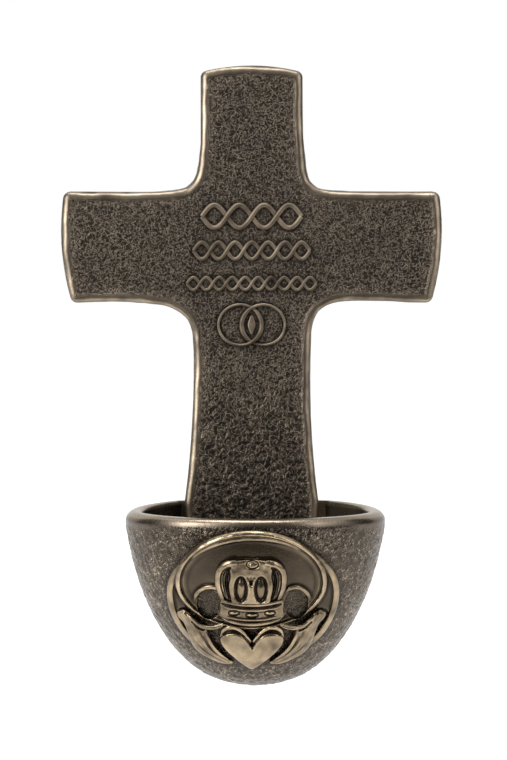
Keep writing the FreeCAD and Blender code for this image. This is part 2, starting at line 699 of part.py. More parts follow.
def face_level():
    """Y of the textured face of the cross."""
    return -(size("cross_thickness") - size("face_recess"))


def raise_from_face(flat):
    """Extrudes a flat shape in the plane Y = 0 from the textured face out towards the room."""
    flat = flat.copy()
    flat.translate(Vector(0, face_level(), 0))
    return flat.extrude(WALL_TO_ROOM * size("ornament_rise"))


def cross_peg(x, z):
    """A peg behind an ornament, in its blind hole in the face."""
    start = Vector(x, face_level() - size("ornament_rise") / 2, z)
    length = size("peg_length") + size("ornament_rise") / 2
    return Part.makeCylinder(size("peg_diameter") / 2, length, start, Vector(0, 1, 0))


def ellipse_face(x, z, half_width, half_height):
    """A flat ellipse in the wall plane."""
    major = max(half_width, half_height)
    minor = min(half_width, half_height)
    ellipse = Part.Ellipse(Vector(), major, minor)
    face = Part.Face(Part.Wire(ellipse.toShape()))
    if half_height > half_width:
        face.rotate(Vector(), Vector(0, 0, 1), 90)
    face.rotate(Vector(), Vector(1, 0, 0), 90)
    face.translate(Vector(x, 0, z))
    return face


def link_ring(x, grow=0.0):
    """The flat outline of one link, widened on both sides by grow."""
    z = -size("rings_drop")
    half_width = size("link_width") / 2 + grow
    half_height = size("link_height") / 2 + grow
    wire = size("link_wire") + 2 * grow
    outer = ellipse_face(x, z, half_width, half_height)
    return outer.cut(ellipse_face(x, z, half_width - wire, half_height - wire))


def make_links():
    """Each link passes under the other once, at the top or at the bottom."""
    half_gap = size("rings_gap") / 2
    z = -size("rings_drop")
    far = size("link_height")
    pegs = {name: (number(x), number(level)) for name, x, level in cross_pegs()}
    for side, sign, under_top in (("left", -1, True), ("right", 1, False)):
        own = link_ring(sign * half_gap)
        other = link_ring(-sign * half_gap, size("crossing_gap"))
        low = z if under_top else z - far
        window = Part.makeBox(2 * far, 1, far, Vector(-far, -0.5, low))
        ring = own.cut(other.common(window))
        solid = raise_from_face(ring).fuse(cross_peg(*pegs["link_" + side]))
        shape_feature("linked_ring_" + side, solid.removeSplitter())
    half_height = size("almond_height") / 2
    half_width = size("almond_width") / 2
    top = Vector(0, 0, z + half_height)
    bottom = Vector(0, 0, z - half_height)
    sides = [Part.Arc(top, Vector(half_width, 0, z), bottom).toShape(),
             Part.Arc(bottom, Vector(-half_width, 0, z), top).toShape()]
    almond = raise_from_face(Part.Face(Part.Wire(sides))).fuse(cross_peg(*pegs["almond"]))
    shape_feature("almond", almond.removeSplitter())


def lens_face(left, right, z, rise):
    """A flat lens between two points, bounded by two arcs of the same rise."""
    start = Vector(left, 0, z)
    end = Vector(right, 0, z)
    middle = (left + right) / 2
    arcs = [Part.Arc(start, Vector(middle, 0, z + rise), end).toShape(),
            Part.Arc(end, Vector(middle, 0, z - rise), start).toShape()]
    return Part.Face(Part.Wire(arcs))


def make_plaits():
    """Two strands that cross at every knot, so that they enclose a row of lenses."""
    pegs = {name: (number(x), number(level)) for name, x, level in cross_pegs()}
    for name, plait in PLAITS.items():
        pitch = plait["width"] / plait["loops"]
        strand = plait["strand"]
        knot = 0.8 * strand
        level = plait["level"] * size("arm_height")
        rise = plait["height"] * size("arm_height") / 2
        blank = None
        for loop in range(plait["loops"]):
            left = -plait["width"] / 2 + loop * pitch
            lens = lens_face(left - strand / 2, left + pitch + strand / 2, level, rise)
            solid = raise_from_face(lens)
            blank = solid if blank is None else blank.fuse(solid)
        for loop in range(plait["loops"]):
            left = -plait["width"] / 2 + loop * pitch
            eye = lens_face(left + knot, left + pitch - knot, level, rise - strand)
            blank = blank.cut(raise_from_face(eye))
        for side in ("_a", "_b"):
            blank = blank.fuse(cross_peg(*pegs[name + side]))
        shape_feature(name, blank.removeSplitter())


# ---------------------------------------------------------------- the emblem of the bowl


def half_ellipse(half_width, height, z):
    """The arc from the right end over the top (or, with a negative height, the bottom) to the left end."""
    centre = Vector(0, 0, z)
    side = centre + Vector(half_width, 0, 0)
    crest = centre + Vector(0, 0, height)
    if half_width > abs(height):
        return Part.ArcOfEllipse(Part.Ellipse(side, crest, centre), 0, math.pi).toShape()
    left = centre - Vector(half_width, 0, 0)
    return Part.ArcOfEllipse(Part.Ellipse(crest, left, centre), -math.pi / 2, math.pi / 2).toShape()


def oval_face(half_width, above, below, drop, grow=0.0):
    """An egg-shaped flat outline, made of an upper and a lower half ellipse."""
    half_width, drop = emblem_place(half_width, drop)
    above = emblem_place(0, above)[1] + grow
    below = emblem_place(0, below)[1] + grow
    z = -size("rim_drop") - drop
    halves = [half_ellipse(half_width + grow, above, z), half_ellipse(half_width + grow, -below, z)]
    return Part.Face(Part.Wire(halves))


def smooth_face(stretches):
    """A flat outline of smooth stretches, each a curve through its own points (x, depth below the rim)."""
    edges = []
    for stretch in stretches:
        points = []
        for place in stretch:
            x, depth = emblem_place(*place)
            points.append(Vector(x, 0, -size("rim_drop") - depth))
        if len(points) == 2:
            edges.append(Part.LineSegment(*points).toShape())
        else:
            curve = Part.BSplineCurve()
            curve.interpolate(Points=points)
            edges.append(curve.toShape())
    return Part.Face(Part.Wire(edges))


def mirrored(points):
    """The same stretch on the other side of the middle, run the other way."""
    return [(-x, depth) for x, depth in reversed(points)]


# half outlines, from the middle of the emblem towards its left side and down: (x, depth below the rim)
CROWN_SIDE = [(0.0, 10.6), (-5.3, 11.1), (-9.4, 13.4), (-10.8, 17.0), (-10.2, 20.5), (-8.7, 23.8)]
CROWN_BASE = [(-8.7, 23.8), (0.0, 24.6), (8.7, 23.8)]
BAND_SIDE = [(-8.7, 23.8), (-8.7, 26.0), (-9.6, 27.2)]
BAND_BASE = [(-9.6, 27.2), (-8.2, 29.4), (-4.4, 30.7), (0.0, 31.2), (4.4, 30.7), (8.2, 29.4), (9.6, 27.2)]
HEART_LOBE = [(0.0, 35.6), (-2.2, 33.0), (-5.6, 31.7), (-9.0, 33.0), (-9.5, 36.4), (-7.6, 39.4)]
HEART_SIDE = [(-7.6, 39.4), (-4.2, 42.4), (0.0, 45.2)]
THUMB = [(-21.2, 27.4), (-19.6, 27.6), (-15.9, 30.3), (-12.0, 31.2), (-8.6, 31.1)]
THUMB_TIP = [(-8.6, 31.1), (-8.2, 31.7), (-11.4, 32.5), (-12.6, 33.6)]
PALM = [(-12.6, 33.6), (-11.6, 36.8), (-9.3, 39.5), (-6.1, 41.7)]
FINGERTIPS = [(-6.1, 41.7), (-5.8, 42.5)]
HAND_BACK = [(-5.8, 42.5), (-11.6, 41.6), (-15.6, 39.8), (-18.4, 36.2), (-20.6, 31.8), (-21.2, 27.4)]
CROWN_WINDOW = (2.9, 19.6, 1.95, 3.5)            # x, depth, half width, half height
HOOP_HOLE = (12.9, 24.2, 3.4, 4.2)
HANDS_WINDOW = (22.4, 10.0, 20.5, 25.0)          # half width, above, below, depth of its widest level


def grown(face, gap):
    """The outline moved outwards by a gap, with its curves as plain splines."""
    return face.makeOffset2D(gap).toNurbs()


def to_bowl(flat):
    """A prism from a flat outline, from the middle of the bowl out past its front."""
    return flat.extrude(WALL_TO_ROOM * 2 * size("bowl_reach"))


def on_bowl(prism, rise):
    """What a prism cuts from a layer of the given rise on the front of the egg."""
    return prism.common(egg(-rise, 0, -rise, (True,))).cut(FRONT_EGG)


def in_front_of(flat, rise):
    """The room in front of a layer of the given rise, for a recess with a floor that follows the egg."""
    prism = to_bowl(flat).common(room_side(size("widest_reach")))
    return prism.cut(egg(-rise, 0, -rise, (True,)))


def flat_hole(place):
    """The two mirrored ellipses of a window."""
    x, depth = emblem_place(place[0], place[1])
    half_width, half_height = emblem_place(place[2], place[3])
    z = -size("rim_drop") - depth
    return ellipse_face(-x, z, half_width, half_height), ellipse_face(x, z, half_width, half_height)


def take(shape, tools):
    for tool in tools:
        shape = shape.cut(tool)
    return shape


def with_pegs(shape, name):
    for x, depth in peg_places(name):
        shape = shape.fuse(emblem_peg(x, depth, 0))
    return shape


def make_emblem():
    gap = size("emblem_fit")
    crown_flat = smooth_face([CROWN_SIDE, CROWN_BASE, mirrored(CROWN_SIDE)])
    band_flat = smooth_face([BAND_SIDE, BAND_BASE, mirrored(BAND_SIDE), mirrored(CROWN_BASE)])
    heart_flat = smooth_face([HEART_LOBE, HEART_SIDE, mirrored(HEART_SIDE), mirrored(HEART_LOBE)])
    hand_flat = smooth_face([THUMB, THUMB_TIP, PALM, FINGERTIPS, HAND_BACK])
    other_hand = hand_flat.mirror(Vector(), Vector(1, 0, 0))

    heart = to_bowl(heart_flat)
    crown = to_bowl(crown_flat)
    crown_band = to_bowl(band_flat)
    heart_room = to_bowl(grown(heart_flat, gap))
    crown_room = to_bowl(grown(crown_flat, gap))
    band_room = to_bowl(grown(band_flat, gap))
    hand_room = to_bowl(grown(hand_flat, gap))
    other_room = to_bowl(grown(other_hand, gap))

    edge = (size("hoop_half_width"), size("hoop_above"), size("hoop_below"), size("hoop_drop"))
    side = (size("flank_half_width"), size("flank_above"), size("flank_below"), size("flank_drop"))
    flank = to_bowl(oval_face(*side)).cut(to_bowl(oval_face(*HANDS_WINDOW)))
    holes = [to_bowl(face) for face in flat_hole(HOOP_HOLE)]
    hoop = on_bowl(to_bowl(oval_face(*edge)).fuse(flank), size("hoop_rise"))
    raised = in_front_of(oval_face(*edge, -size("hoop_band")), size("hoop_inside_rise"))
    hoop = take(hoop.cut(raised), holes + [crown_room, band_room, heart_room, hand_room, other_room])
    shape_feature("claddagh_hoop", with_pegs(hoop, "hoop"))

    shape_feature("heart", with_pegs(on_bowl(heart, size("heart_rise")).cut(band_room), "heart"))
    window_floor = size("crown_rise") - size("crown_window_depth")
    windows = [in_front_of(face, window_floor) for face in flat_hole(CROWN_WINDOW)]
    crown_solid = take(on_bowl(crown, size("crown_rise")), windows + [band_room])
    shape_feature("crown", with_pegs(crown_solid, "crown"))
    shape_feature("crown_band", with_pegs(on_bowl(crown_band, size("crown_rise")), "crown_band"))
    for name, flat in (("left_hand", hand_flat), ("right_hand", other_hand)):
        hand = take(on_bowl(to_bowl(flat), size("hand_rise")), [heart_room, band_room])
        shape_feature(name, with_pegs(hand, name))


# ---------------------------------------------------------------- build, check and export

FRONT_EGG = egg(0, size("rim_round"), 0)
make_cross()
make_bowl()
make_fasteners()
make_keyhole_plate()
make_links()
make_plaits()
make_emblem()
doc.recompute()

NODES = ["cross", "bowl", "keyhole_plate", "keyhole_plate_screws", "bowl_screws", "threaded_inserts",
         "locating_dowels", "linked_ring_left", "linked_ring_right", "almond", "plait_upper",
         "plait_middle", "plait_lower", "claddagh_hoop", "heart", "crown", "crown_band", "left_hand",
         "right_hand"]

for thing in doc.Objects:
    if "Invalid" in thing.State or "Error" in thing.State:
        raise RuntimeError("%s failed: %s" % (thing.Label, thing.State))
parts = {name: doc.getObject(name) for name in NODES}
for name, thing in parts.items():
    if thing is None or thing.Shape.isNull() or not thing.Shape.isValid():
        raise RuntimeError(name + " has no valid shape")
for name, thing in parts.items():
    thing.Shape.exportStep("parts/%s.step" % name)
    box = thing.Shape.BoundBox
    print("%-22s solids %d  volume %9.1f  x %6.1f..%6.1f  y %6.1f..%6.1f  z %7.1f..%6.1f" % (
        name, len(thing.Shape.Solids), thing.Shape.Volume, box.XMin, box.XMax, box.YMin, box.YMax,
        box.ZMin, box.ZMax))
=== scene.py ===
# %% [markdown]
# # A holy water stoup in cast bronze
#
# The object is a small wall font: a cross with flared ends whose foot stands in a half-egg bowl. It is
# cast, stained dark brown, and then rubbed, so that every border and ridge shines like brass while the
# hollows stay nearly black. The face of the cross and the outside of the bowl are covered with fine
# wrinkles, and the bowl carries a crowned heart held by two hands inside a finger ring.
#
# The construction model gives every place and size. This script keeps to it within a millimetre, gives
# the plain castings their skin, and models the ornament itself.

# %% The fixed frame
import math
from functools import partial

import bpy
import numpy as np
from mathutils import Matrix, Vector, kdtree, noise


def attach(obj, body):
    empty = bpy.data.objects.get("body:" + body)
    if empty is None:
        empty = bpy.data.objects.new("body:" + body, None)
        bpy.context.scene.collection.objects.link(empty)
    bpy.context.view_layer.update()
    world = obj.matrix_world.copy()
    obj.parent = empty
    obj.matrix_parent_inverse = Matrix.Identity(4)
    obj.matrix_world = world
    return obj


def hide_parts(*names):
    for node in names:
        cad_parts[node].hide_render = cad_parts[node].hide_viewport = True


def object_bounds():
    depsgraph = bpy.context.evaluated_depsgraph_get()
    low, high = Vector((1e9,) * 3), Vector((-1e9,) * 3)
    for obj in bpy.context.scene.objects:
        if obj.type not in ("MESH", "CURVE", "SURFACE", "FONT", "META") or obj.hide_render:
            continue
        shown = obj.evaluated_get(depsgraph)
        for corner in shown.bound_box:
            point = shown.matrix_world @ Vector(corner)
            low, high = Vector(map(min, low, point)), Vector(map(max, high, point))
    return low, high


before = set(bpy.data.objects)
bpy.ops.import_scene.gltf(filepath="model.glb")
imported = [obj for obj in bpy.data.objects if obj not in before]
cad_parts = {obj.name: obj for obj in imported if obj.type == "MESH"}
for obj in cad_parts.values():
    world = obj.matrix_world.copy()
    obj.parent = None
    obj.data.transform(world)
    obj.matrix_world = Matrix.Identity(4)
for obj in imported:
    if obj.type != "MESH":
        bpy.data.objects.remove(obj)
cad_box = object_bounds()
print("construction model, lowest and highest corner:", [tuple(corner) for corner in cad_box])

# %% [markdown]
# Lengths are written in millimetres, because that is how a maker thinks of a piece this small. Blender
# works in metres, so a mesh is scaled once, when its points are written back.

# %% Hand tools
MM = 0.001


def deselect():
    bpy.ops.object.select_all(action="DESELECT")


def mode(name):
    bpy.ops.object.mode_set(mode=name)


def only(piece):
    """Makes one object the only selected one and the active one."""
    deselect()
    piece.select_set(True)
    bpy.context.view_layer.objects.active = piece


def fresh(name):
    """Names the primitive that was just added, and its mesh."""
    piece = bpy.context.object
    piece.name = name
    piece.data.name = name
    return piece


def read(items, key, width, kind=float):
    """One property of all points, edges or numbers of a mesh."""
    flat = np.empty(len(items) * width, dtype=kind)
    items.foreach_get(key, flat)
    return flat.reshape(-1, width)


def points_of(piece, unit=MM):
    """The places of a mesh's points, in millimetres."""
    return read(piece.data.vertices, "co", 3) / unit


def set_points(piece, points, unit=MM):
    piece.data.vertices.foreach_set("co", (points * unit).ravel())
    piece.data.update()


def apply(piece, kind, **settings):
    """Adds a modifier, sets it up and applies it."""
    only(piece)
    modifier = piece.modifiers.new(kind.lower(), kind)
    for key, value in settings.items():
        setattr(modifier, key, value)
    bpy.ops.object.modifier_apply(modifier=modifier.name)


def settle(piece):
    """Puts an object's place, turn and size into its mesh."""
    only(piece)
    bpy.ops.object.transform_apply(location=True, rotation=True, scale=True)
    return piece


def noise_at(points, period):
    """Smooth noise between about -1 and 1 at each point; its swells are about `period` wide."""
    return np.array([noise.noise(Vector(place) / period) for place in points])


def tree_of(points):
    """A search tree that finds the nearest of some points."""
    tree = kdtree.KDTree(len(points))
    for index, place in enumerate(points):
        tree.insert(place, index)
    tree.balance()
    return tree


def step(low, high, values):
    """Runs smoothly from 0 at low to 1 at high."""
    share = np.clip((values - low) / (high - low), 0, 1)
    return share * share * (3 - 2 * share)


def store(piece, name, values):
    """Writes one number per point for the materials to read."""
    attribute = piece.data.attributes.new(name, "FLOAT", "POINT")
    attribute.data.foreach_set("value", np.asarray(values, dtype=np.float32))


def stored(piece, name):
    """Reads such numbers back, also after faces were dissolved, and takes them off the mesh."""
    attribute = piece.data.attributes[name]
    values = read(attribute.data, "value", 1)[:, 0]
    piece.data.attributes.remove(attribute)
    return values


def report(piece):
    points = points_of(piece)
    faces = sum(len(polygon.vertices) - 2 for polygon in piece.data.polygons)
    print("%-18s %6d triangles" % (piece.name, faces), points.min(0).round(2), points.max(0).round(2))


# %% [markdown]
# ## Camera
#
# The picture is taken with a long lens from about a metre away, a little above the middle of the cross
# and a touch to its left, looking slightly down. A long lens keeps the arms of the cross parallel and
# still shows a sliver of the inside of the bowl.

# %% Camera
CAMERA_DISTANCE = 1007
CAMERA_HEIGHT = 32.24
CAMERA_SIDE = -12.3
AIM = (0.68, 0, -40.66)
FOCAL_LENGTH = 157.1

lens = bpy.data.cameras.new("camera")
lens.lens = FOCAL_LENGTH
lens.sensor_width = 36
lens.clip_start = 0.05
camera = bpy.data.objects.new("camera", lens)
camera.location = Vector((CAMERA_SIDE, -CAMERA_DISTANCE, CAMERA_HEIGHT)) * MM
sight = Vector(AIM) * MM - camera.location
camera.rotation_euler = sight.to_track_quat("-Z", "Y").to_euler()
bpy.context.scene.collection.objects.link(camera)
bpy.context.scene.camera = camera
bpy.context.scene.view_settings.view_transform = "Standard"

# %% [markdown]
# ## Floor, surroundings and light
#
# Metal shows what stands around it. The surroundings are white, as in a light tent, with a soft lamp on
# each side and one above. Grey cards in front, below and at both sides are seen only by the metal. They
# keep the flat faces dark, so that edges and ridges stand out. The floor lies well below, because the
# stoup hangs on a wall.

# %% Floor, surroundings and light
WHITE = (1, 1, 1, 1)
SURROUND = 0.55  # level of the surroundings as seen by matt surfaces
FLOOR_DROP = 60  # below the bottom of the bowl
FLOOR_SIZE = 12000
FLOOR_TONE = (0.86, 0.86, 0.86, 1)
FLOOR_GLOW = 0.54  # lifts the floor to the white of the surroundings
LAMP_AIM = (0, -20, -40)
# name, place, width, height, power
LAMPS = [("left lamp", (-900, -900, 250), 500, 900, 9), ("right lamp", (900, -900, 250), 500, 900, 2),
         ("top lamp", (-100, -250, 1150), 900, 500, 9)]
UPRIGHT, FLAT, SIDEWAYS = (math.pi / 2, 0, 0), (0, 0, 0), (0, math.pi / 2, 0)
# name, place, size, turn, tone; the left edges of the metal see round the front card, the right ones do not
CARDS = [("front_card", (275, -1500, 922.24), (1650, 3000), UPRIGHT, (0.10, 0.097, 0.093, 1)),
         ("table_card", (0, -850, -175.5), (1500, 1400), FLAT, (0.07, 0.067, 0.062, 1)),
         ("left_card", (-1300, 100, 0), (2400, 840), SIDEWAYS, (0.04, 0.039, 0.037, 1)),
         ("right_card", (1300, 100, 0), (2400, 840), SIDEWAYS, (0.04, 0.039, 0.037, 1))]


def nodes_of(material):
    """An emptied node tree and its short helpers: one adds a node, the other links two sockets."""
    material.use_nodes = True
    tree = material.node_tree
    tree.nodes.clear()

    def add(kind, **settings):
        """A setting is a value or a socket for one of the node's inputs, or else a property."""
        node = tree.nodes.new("ShaderNode" + kind)
        for key, value in settings.items():
            title = key.replace("_", " ")
            if title not in node.inputs:
                setattr(node, key, value)
            elif isinstance(value, bpy.types.NodeSocket):
                tree.links.new(value, node.inputs[title])
            else:
                node.inputs[title].default_value = value
        return node

    return add, tree.links.new


def two_looks(add, link, matt, direct, output):
    """Shows one shader to matt surfaces and another to the camera, straight or by way of metal."""
    path = add("LightPath")
    seen = path.outputs["Is Camera Ray"]
    for ray in ("Is Glossy Ray", "Is Transmission Ray"):
        either = add("Math", operation="MAXIMUM")
        link(seen, either.inputs[0])
        link(path.outputs[ray], either.inputs[1])
        seen = either.outputs[0]
    which = add("MixShader")
    for socket, source in zip(which.inputs, (seen, matt.outputs[0], direct.outputs[0])):
        link(source, socket)
    add(output, Surface=which.outputs[0])


world = bpy.data.worlds.new("light tent")
bpy.context.scene.world = world
add, link = nodes_of(world)
two_looks(add, link, add("Background", Color=WHITE, Strength=SURROUND),
          add("Background", Color=WHITE, Strength=1.0), "OutputWorld")

lowest = cad_box[0][2] / MM
deselect()
bpy.ops.mesh.primitive_grid_add(x_subdivisions=8, y_subdivisions=8, size=FLOOR_SIZE * MM,
                                location=(0, 0, (lowest - FLOOR_DROP) * MM))
floor = fresh("floor")
settle(floor)
floor_paint = bpy.data.materials.new("floor paint")
add, link = nodes_of(floor_paint)
matt = add("BsdfDiffuse", Color=FLOOR_TONE)
both = add("AddShader")
link(matt.outputs[0], both.inputs[0])
link(add("Emission", Color=WHITE, Strength=FLOOR_GLOW).outputs[0], both.inputs[1])
two_looks(add, link, matt, both, "OutputMaterial")
floor.data.materials.append(floor_paint)

for name, place, width, height, power in LAMPS:
    light = bpy.data.lights.new(name, "AREA")
    light.shape = "RECTANGLE"
    light.size, light.size_y = width * MM, height * MM
    light.energy = power
    lamp = bpy.data.objects.new(name, light)
    lamp.location = Vector(place) * MM
    lamp.rotation_euler = (Vector(LAMP_AIM) * MM - lamp.location).to_track_quat("-Z", "Y").to_euler()
    bpy.context.scene.collection.objects.link(lamp)

for name, place, size, turn, tone in CARDS:
    deselect()
    bpy.ops.mesh.primitive_grid_add(x_subdivisions=2, y_subdivisions=2, size=1)
    card = fresh(name)
    card.scale = (size[0] * MM, size[1] * MM, 1)
    card.rotation_euler = turn
    card.location = Vector(place) * MM
    settle(card)
    card.visible_camera = card.visible_shadow = card.visible_diffuse = False
    paint = bpy.data.materials.new(name + " paint")
    add, link = nodes_of(paint)
    add("OutputMaterial", Surface=add("Emission", Color=tone, Strength=1.0).outputs[0])
    card.data.materials.append(paint)

print("floor at %.1f mm, %d lamps, %d grey cards" % (lowest - FLOOR_DROP, len(LAMPS), len(CARDS)))

# %% [markdown]
# ## Bronze
#
# One recipe serves every casting. A dark stain lies over brass-coloured metal, and rubbing takes it off
# wherever a cloth can reach. Four numbers at each point of a mesh say how the metal was treated: `rub`
# for edges and borders, `ridge` where the skin is wrinkled, `coarse` where the wrinkles are wide, and
# `hollow_and_shade` for corners where the stain gathers and for places darkened with painted shade. Fine
# noise breaks all of it up, so that no edge is evenly bright.

# %% Bronze
STAIN_DEEP_AND_SHADE = (0.015, 0.012, 0.0095, 1)
STAIN = (0.132, 0.108, 0.088, 1)
WARM_STAIN = (0.088, 0.066, 0.045, 1)
BRASS = (0.50, 0.385, 0.245, 1)
PALE_METAL = (0.50, 0.405, 0.295, 1)
WORM_SCALE = 1200  # wrinkles per metre
COARSE_SHARE = 0.6  # of that, where the wrinkles are coarse
WORM_SHARPNESS = 15  # how narrow the crest of a wrinkle is
MOTTLE_SCALE = 90
SPECK_SCALE = 2600
WRINKLE_LIFT, SPECK_LIFT = 0.75, 0.3  # how much of the stain wrinkles and specks take off
CLOUDS, CLOUD_LEVEL = 1.6, -0.2  # contrast and level of the clouds in the stain of smooth skin
RUB_CLOUDS, RUB_SPECKS = 1.1, 0.6  # how patchy the rubbing is
GLOSS_SPREAD, RUB_GLOSS = 0.16, 0.06  # roughness differs by the one and rubbing takes off the other
SPECK_HEIGHT = 0.12  # against 1 for a wrinkle


def bronze(name, stain_colour, metal_colour, crest_shine, relief, roughness, worm_scale=WORM_SCALE,
           stretch=(1.0, 1.0, 1.0), lean=0.0, evenness=0.0):
    """Stained and rubbed bronze: how much metal shows on the wrinkles, and their relief in mm."""
    material = bpy.data.materials.new(name)
    add, link = nodes_of(material)
    place = add("Mapping", vector_type="TEXTURE", Vector=add("TexCoord").outputs["Object"],
                Rotation=(0, lean, 0), Scale=[1 / share for share in stretch]).outputs[0]

    def number_of(attribute):
        return add("Attribute", attribute_name=attribute).outputs["Fac"]

    def math_of(operation, first, second, clamp=False):
        node = add("Math", operation=operation, use_clamp=clamp)
        for socket, value in zip(node.inputs, (first, second)):
            if isinstance(value, (int, float)):
                socket.default_value = value
            else:
                link(value, socket)
        return node.outputs[0]

    plus, minus, times = (partial(math_of, operation) for operation in ("ADD", "SUBTRACT", "MULTIPLY"))

    def noise_of(scale, detail, distortion=0.0):
        return add("TexNoise", Scale=scale, Detail=detail, Distortion=distortion, Vector=place).outputs["Fac"]

    mottle = noise_of(MOTTLE_SCALE, 3.0)
    specks = noise_of(SPECK_SCALE, 2.0)

    # a wrinkle runs wherever the noise passes its middle value
    fine = noise_of(worm_scale, 1.5, distortion=0.5)
    coarse = noise_of(worm_scale * COARSE_SHARE, 1.5, distortion=0.5)
    worms = plus(fine, times(minus(coarse, fine), number_of("coarse")))
    from_middle = math_of("ABSOLUTE", minus(worms, 0.5), 0.0)
    wrinkle = minus(1.0, times(from_middle, WORM_SHARPNESS), clamp=True)
    wrinkle = plus(times(wrinkle, WRINKLE_LIFT - evenness), times(specks, SPECK_LIFT))
    wrinkle = plus(wrinkle, evenness - 0.03, clamp=True)
    covered = times(wrinkle, number_of("ridge"))

    # stain and painted shade: nearly black in pits and corners and where shade is painted, brown elsewhere
    cloudy = plus(times(mottle, CLOUDS), CLOUD_LEVEL)
    lift = plus(covered, times(minus(1.0, number_of("ridge")), cloudy))
    lift = times(lift, minus(1.0, number_of("hollow_and_shade")), clamp=True)
    stain_and_shade = add("Mix", data_type="RGBA", Factor=lift, A=STAIN_DEEP_AND_SHADE, B=stain_colour)

    # rubbed metal: edges, and a little on every crest
    patchy = plus(times(mottle, RUB_CLOUDS), times(specks, RUB_SPECKS))
    on_crests = times(times(times(covered, covered), crest_shine), times(lift, patchy))
    rubbed = plus(times(number_of("rub"), plus(patchy, 0.1)), on_crests, clamp=True)
    colour = add("Mix", data_type="RGBA", Factor=rubbed, A=stain_and_shade.outputs["Result"], B=metal_colour)

    gloss = plus(times(specks, GLOSS_SPREAD), roughness - GLOSS_SPREAD / 2)
    gloss = minus(gloss, times(rubbed, RUB_GLOSS))
    bump = add("Bump", Strength=1.0, Distance=relief * MM, Height=plus(covered, times(specks, SPECK_HEIGHT)))
    metal = add("BsdfPrincipled", Metallic=0.9, Base_Color=colour.outputs["Result"], Roughness=gloss,
                Normal=bump.outputs[0])
    add("OutputMaterial", Surface=metal.outputs[0])
    print("material", name)
    return material


wrinkled_bronze = bronze("wrinkled_bronze", STAIN, PALE_METAL, crest_shine=0.5, relief=0.12, roughness=0.38,
                         evenness=0.2)
stroked_bronze = bronze("stroked_bronze", STAIN, PALE_METAL, crest_shine=0.9, relief=0.20, roughness=0.27,
                        worm_scale=940, stretch=(1.0, 1.0, 0.6), lean=0.5, evenness=-0.04)
rubbed_bronze = bronze("rubbed_bronze", WARM_STAIN, BRASS, crest_shine=0.0, relief=0.16, roughness=0.25,
                       stretch=(0.5, 1.0, 1.0))
satin_bronze = bronze("satin_bronze", WARM_STAIN, PALE_METAL, crest_shine=0.0, relief=0.05, roughness=0.5)

# %% [markdown]
# ## Where the stain stays, and where shade is painted
#
# Stain gathers in corners. Each edge of a mesh tells whether its far end rises above the surface at its
# near end: if it does, the place is a hollow. A few rounds of averaging over the neighbours spread this
# to the width of a brush hair; many rounds spread it over broad hollows, which get painted shade.

# %% Hollows and crests of a mesh


def bends(piece, rounds):
    """How hollow (above 0) or crested (below 0) the mesh is at each point, smoothed over neighbours."""
    first, second = read(piece.data.edges, "vertices", 2, int).T
    points, normals = points_of(piece), read(piece.data.vertices, "normal", 3)
    size = len(points)
    across = points[second] - points[first]
    across /= np.maximum(np.linalg.norm(across, axis=1), 1e-6)[:, None]
    count = np.maximum(np.bincount(np.concatenate([first, second]), minlength=size), 1)

    def gathered(at_first, at_second):
        """The mean over each point's edges."""
        return (np.bincount(first, at_first, size) + np.bincount(second, at_second, size)) / count

    value = gathered((normals[first] * across).sum(1), -(normals[second] * across).sum(1))
    for _ in range(rounds):
        value = (value + gathered(value[second], value[first])) / 2
    return value


def finish_casting(piece, material, nodes, rub, ridge=0.0, hollow_and_shade=0.0, coarse=0.0):
    """Stores the four numbers, gives the finish and places the piece on the fixed frame."""
    for name, values in (("rub", rub), ("ridge", ridge), ("hollow_and_shade", hollow_and_shade), ("coarse", coarse)):
        store(piece, name, np.broadcast_to(values, len(piece.data.vertices)))
    piece.data.materials.clear()
    piece.data.materials.append(material)
    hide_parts(*nodes)
    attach(piece, "root")
    report(piece)


# %% [markdown]
# ## The cross
#
# The real cross is a flat casting. Its front edge is rounded by wear, and a smooth bead runs round the
# face. From the crest of that bead the metal falls softly to the wrinkled field. The construction model
# already has the outline, so a copy of it is covered with an even net of small faces, and the points of
# its front are moved: first the fall behind the bead, then the wrinkles. Wrinkles of real depth matter,
# because they show in the outline and when the light comes from the side.

# %% Even skin over a construction casting


def casting_copy(node, name, cell):
    """A merged copy of a construction casting, remeshed to even faces of about `cell` millimetres."""
    piece = bpy.data.objects.new(name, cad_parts[node].data.copy())
    bpy.context.scene.collection.objects.link(piece)
    only(piece)
    mode("EDIT")
    bpy.ops.mesh.select_all(action="SELECT")
    bpy.ops.mesh.remove_doubles(threshold=0.001 * MM)
    mode("OBJECT")
    longest = max(piece.dimensions) / MM
    depth = math.ceil(math.log2(longest / cell))
    apply(piece, "REMESH", mode="SHARP", octree_depth=depth, scale=longest / (cell * 2 ** depth),
          use_remove_disconnected=False)
    return piece


def worm(place, period):
    """Wrinkles: 1 on a crest and 0 in a pit, about `period` millimetres apart."""
    spot = Vector(place) / period
    value = noise.noise(spot) + 0.5 * noise.noise(spot * 2.1 + Vector((7, 3, 5)))
    return min(max(0.5 + 0.9 * value, 0), 1)


# %% [markdown]
# The drawn outline has straight edges and four equal inside corners. The casting's edges are faintly
# hollow and no two corners are quite alike, so each corner is pushed into shape: a list says how far its
# edge lies outside the drawn one at lengths along it.

# %% Inside corners of the cross
CORNER_RADIUS = 10.5
CORNER_REACH = (1.0, 7.0)  # the push fades between these depths inside the outline
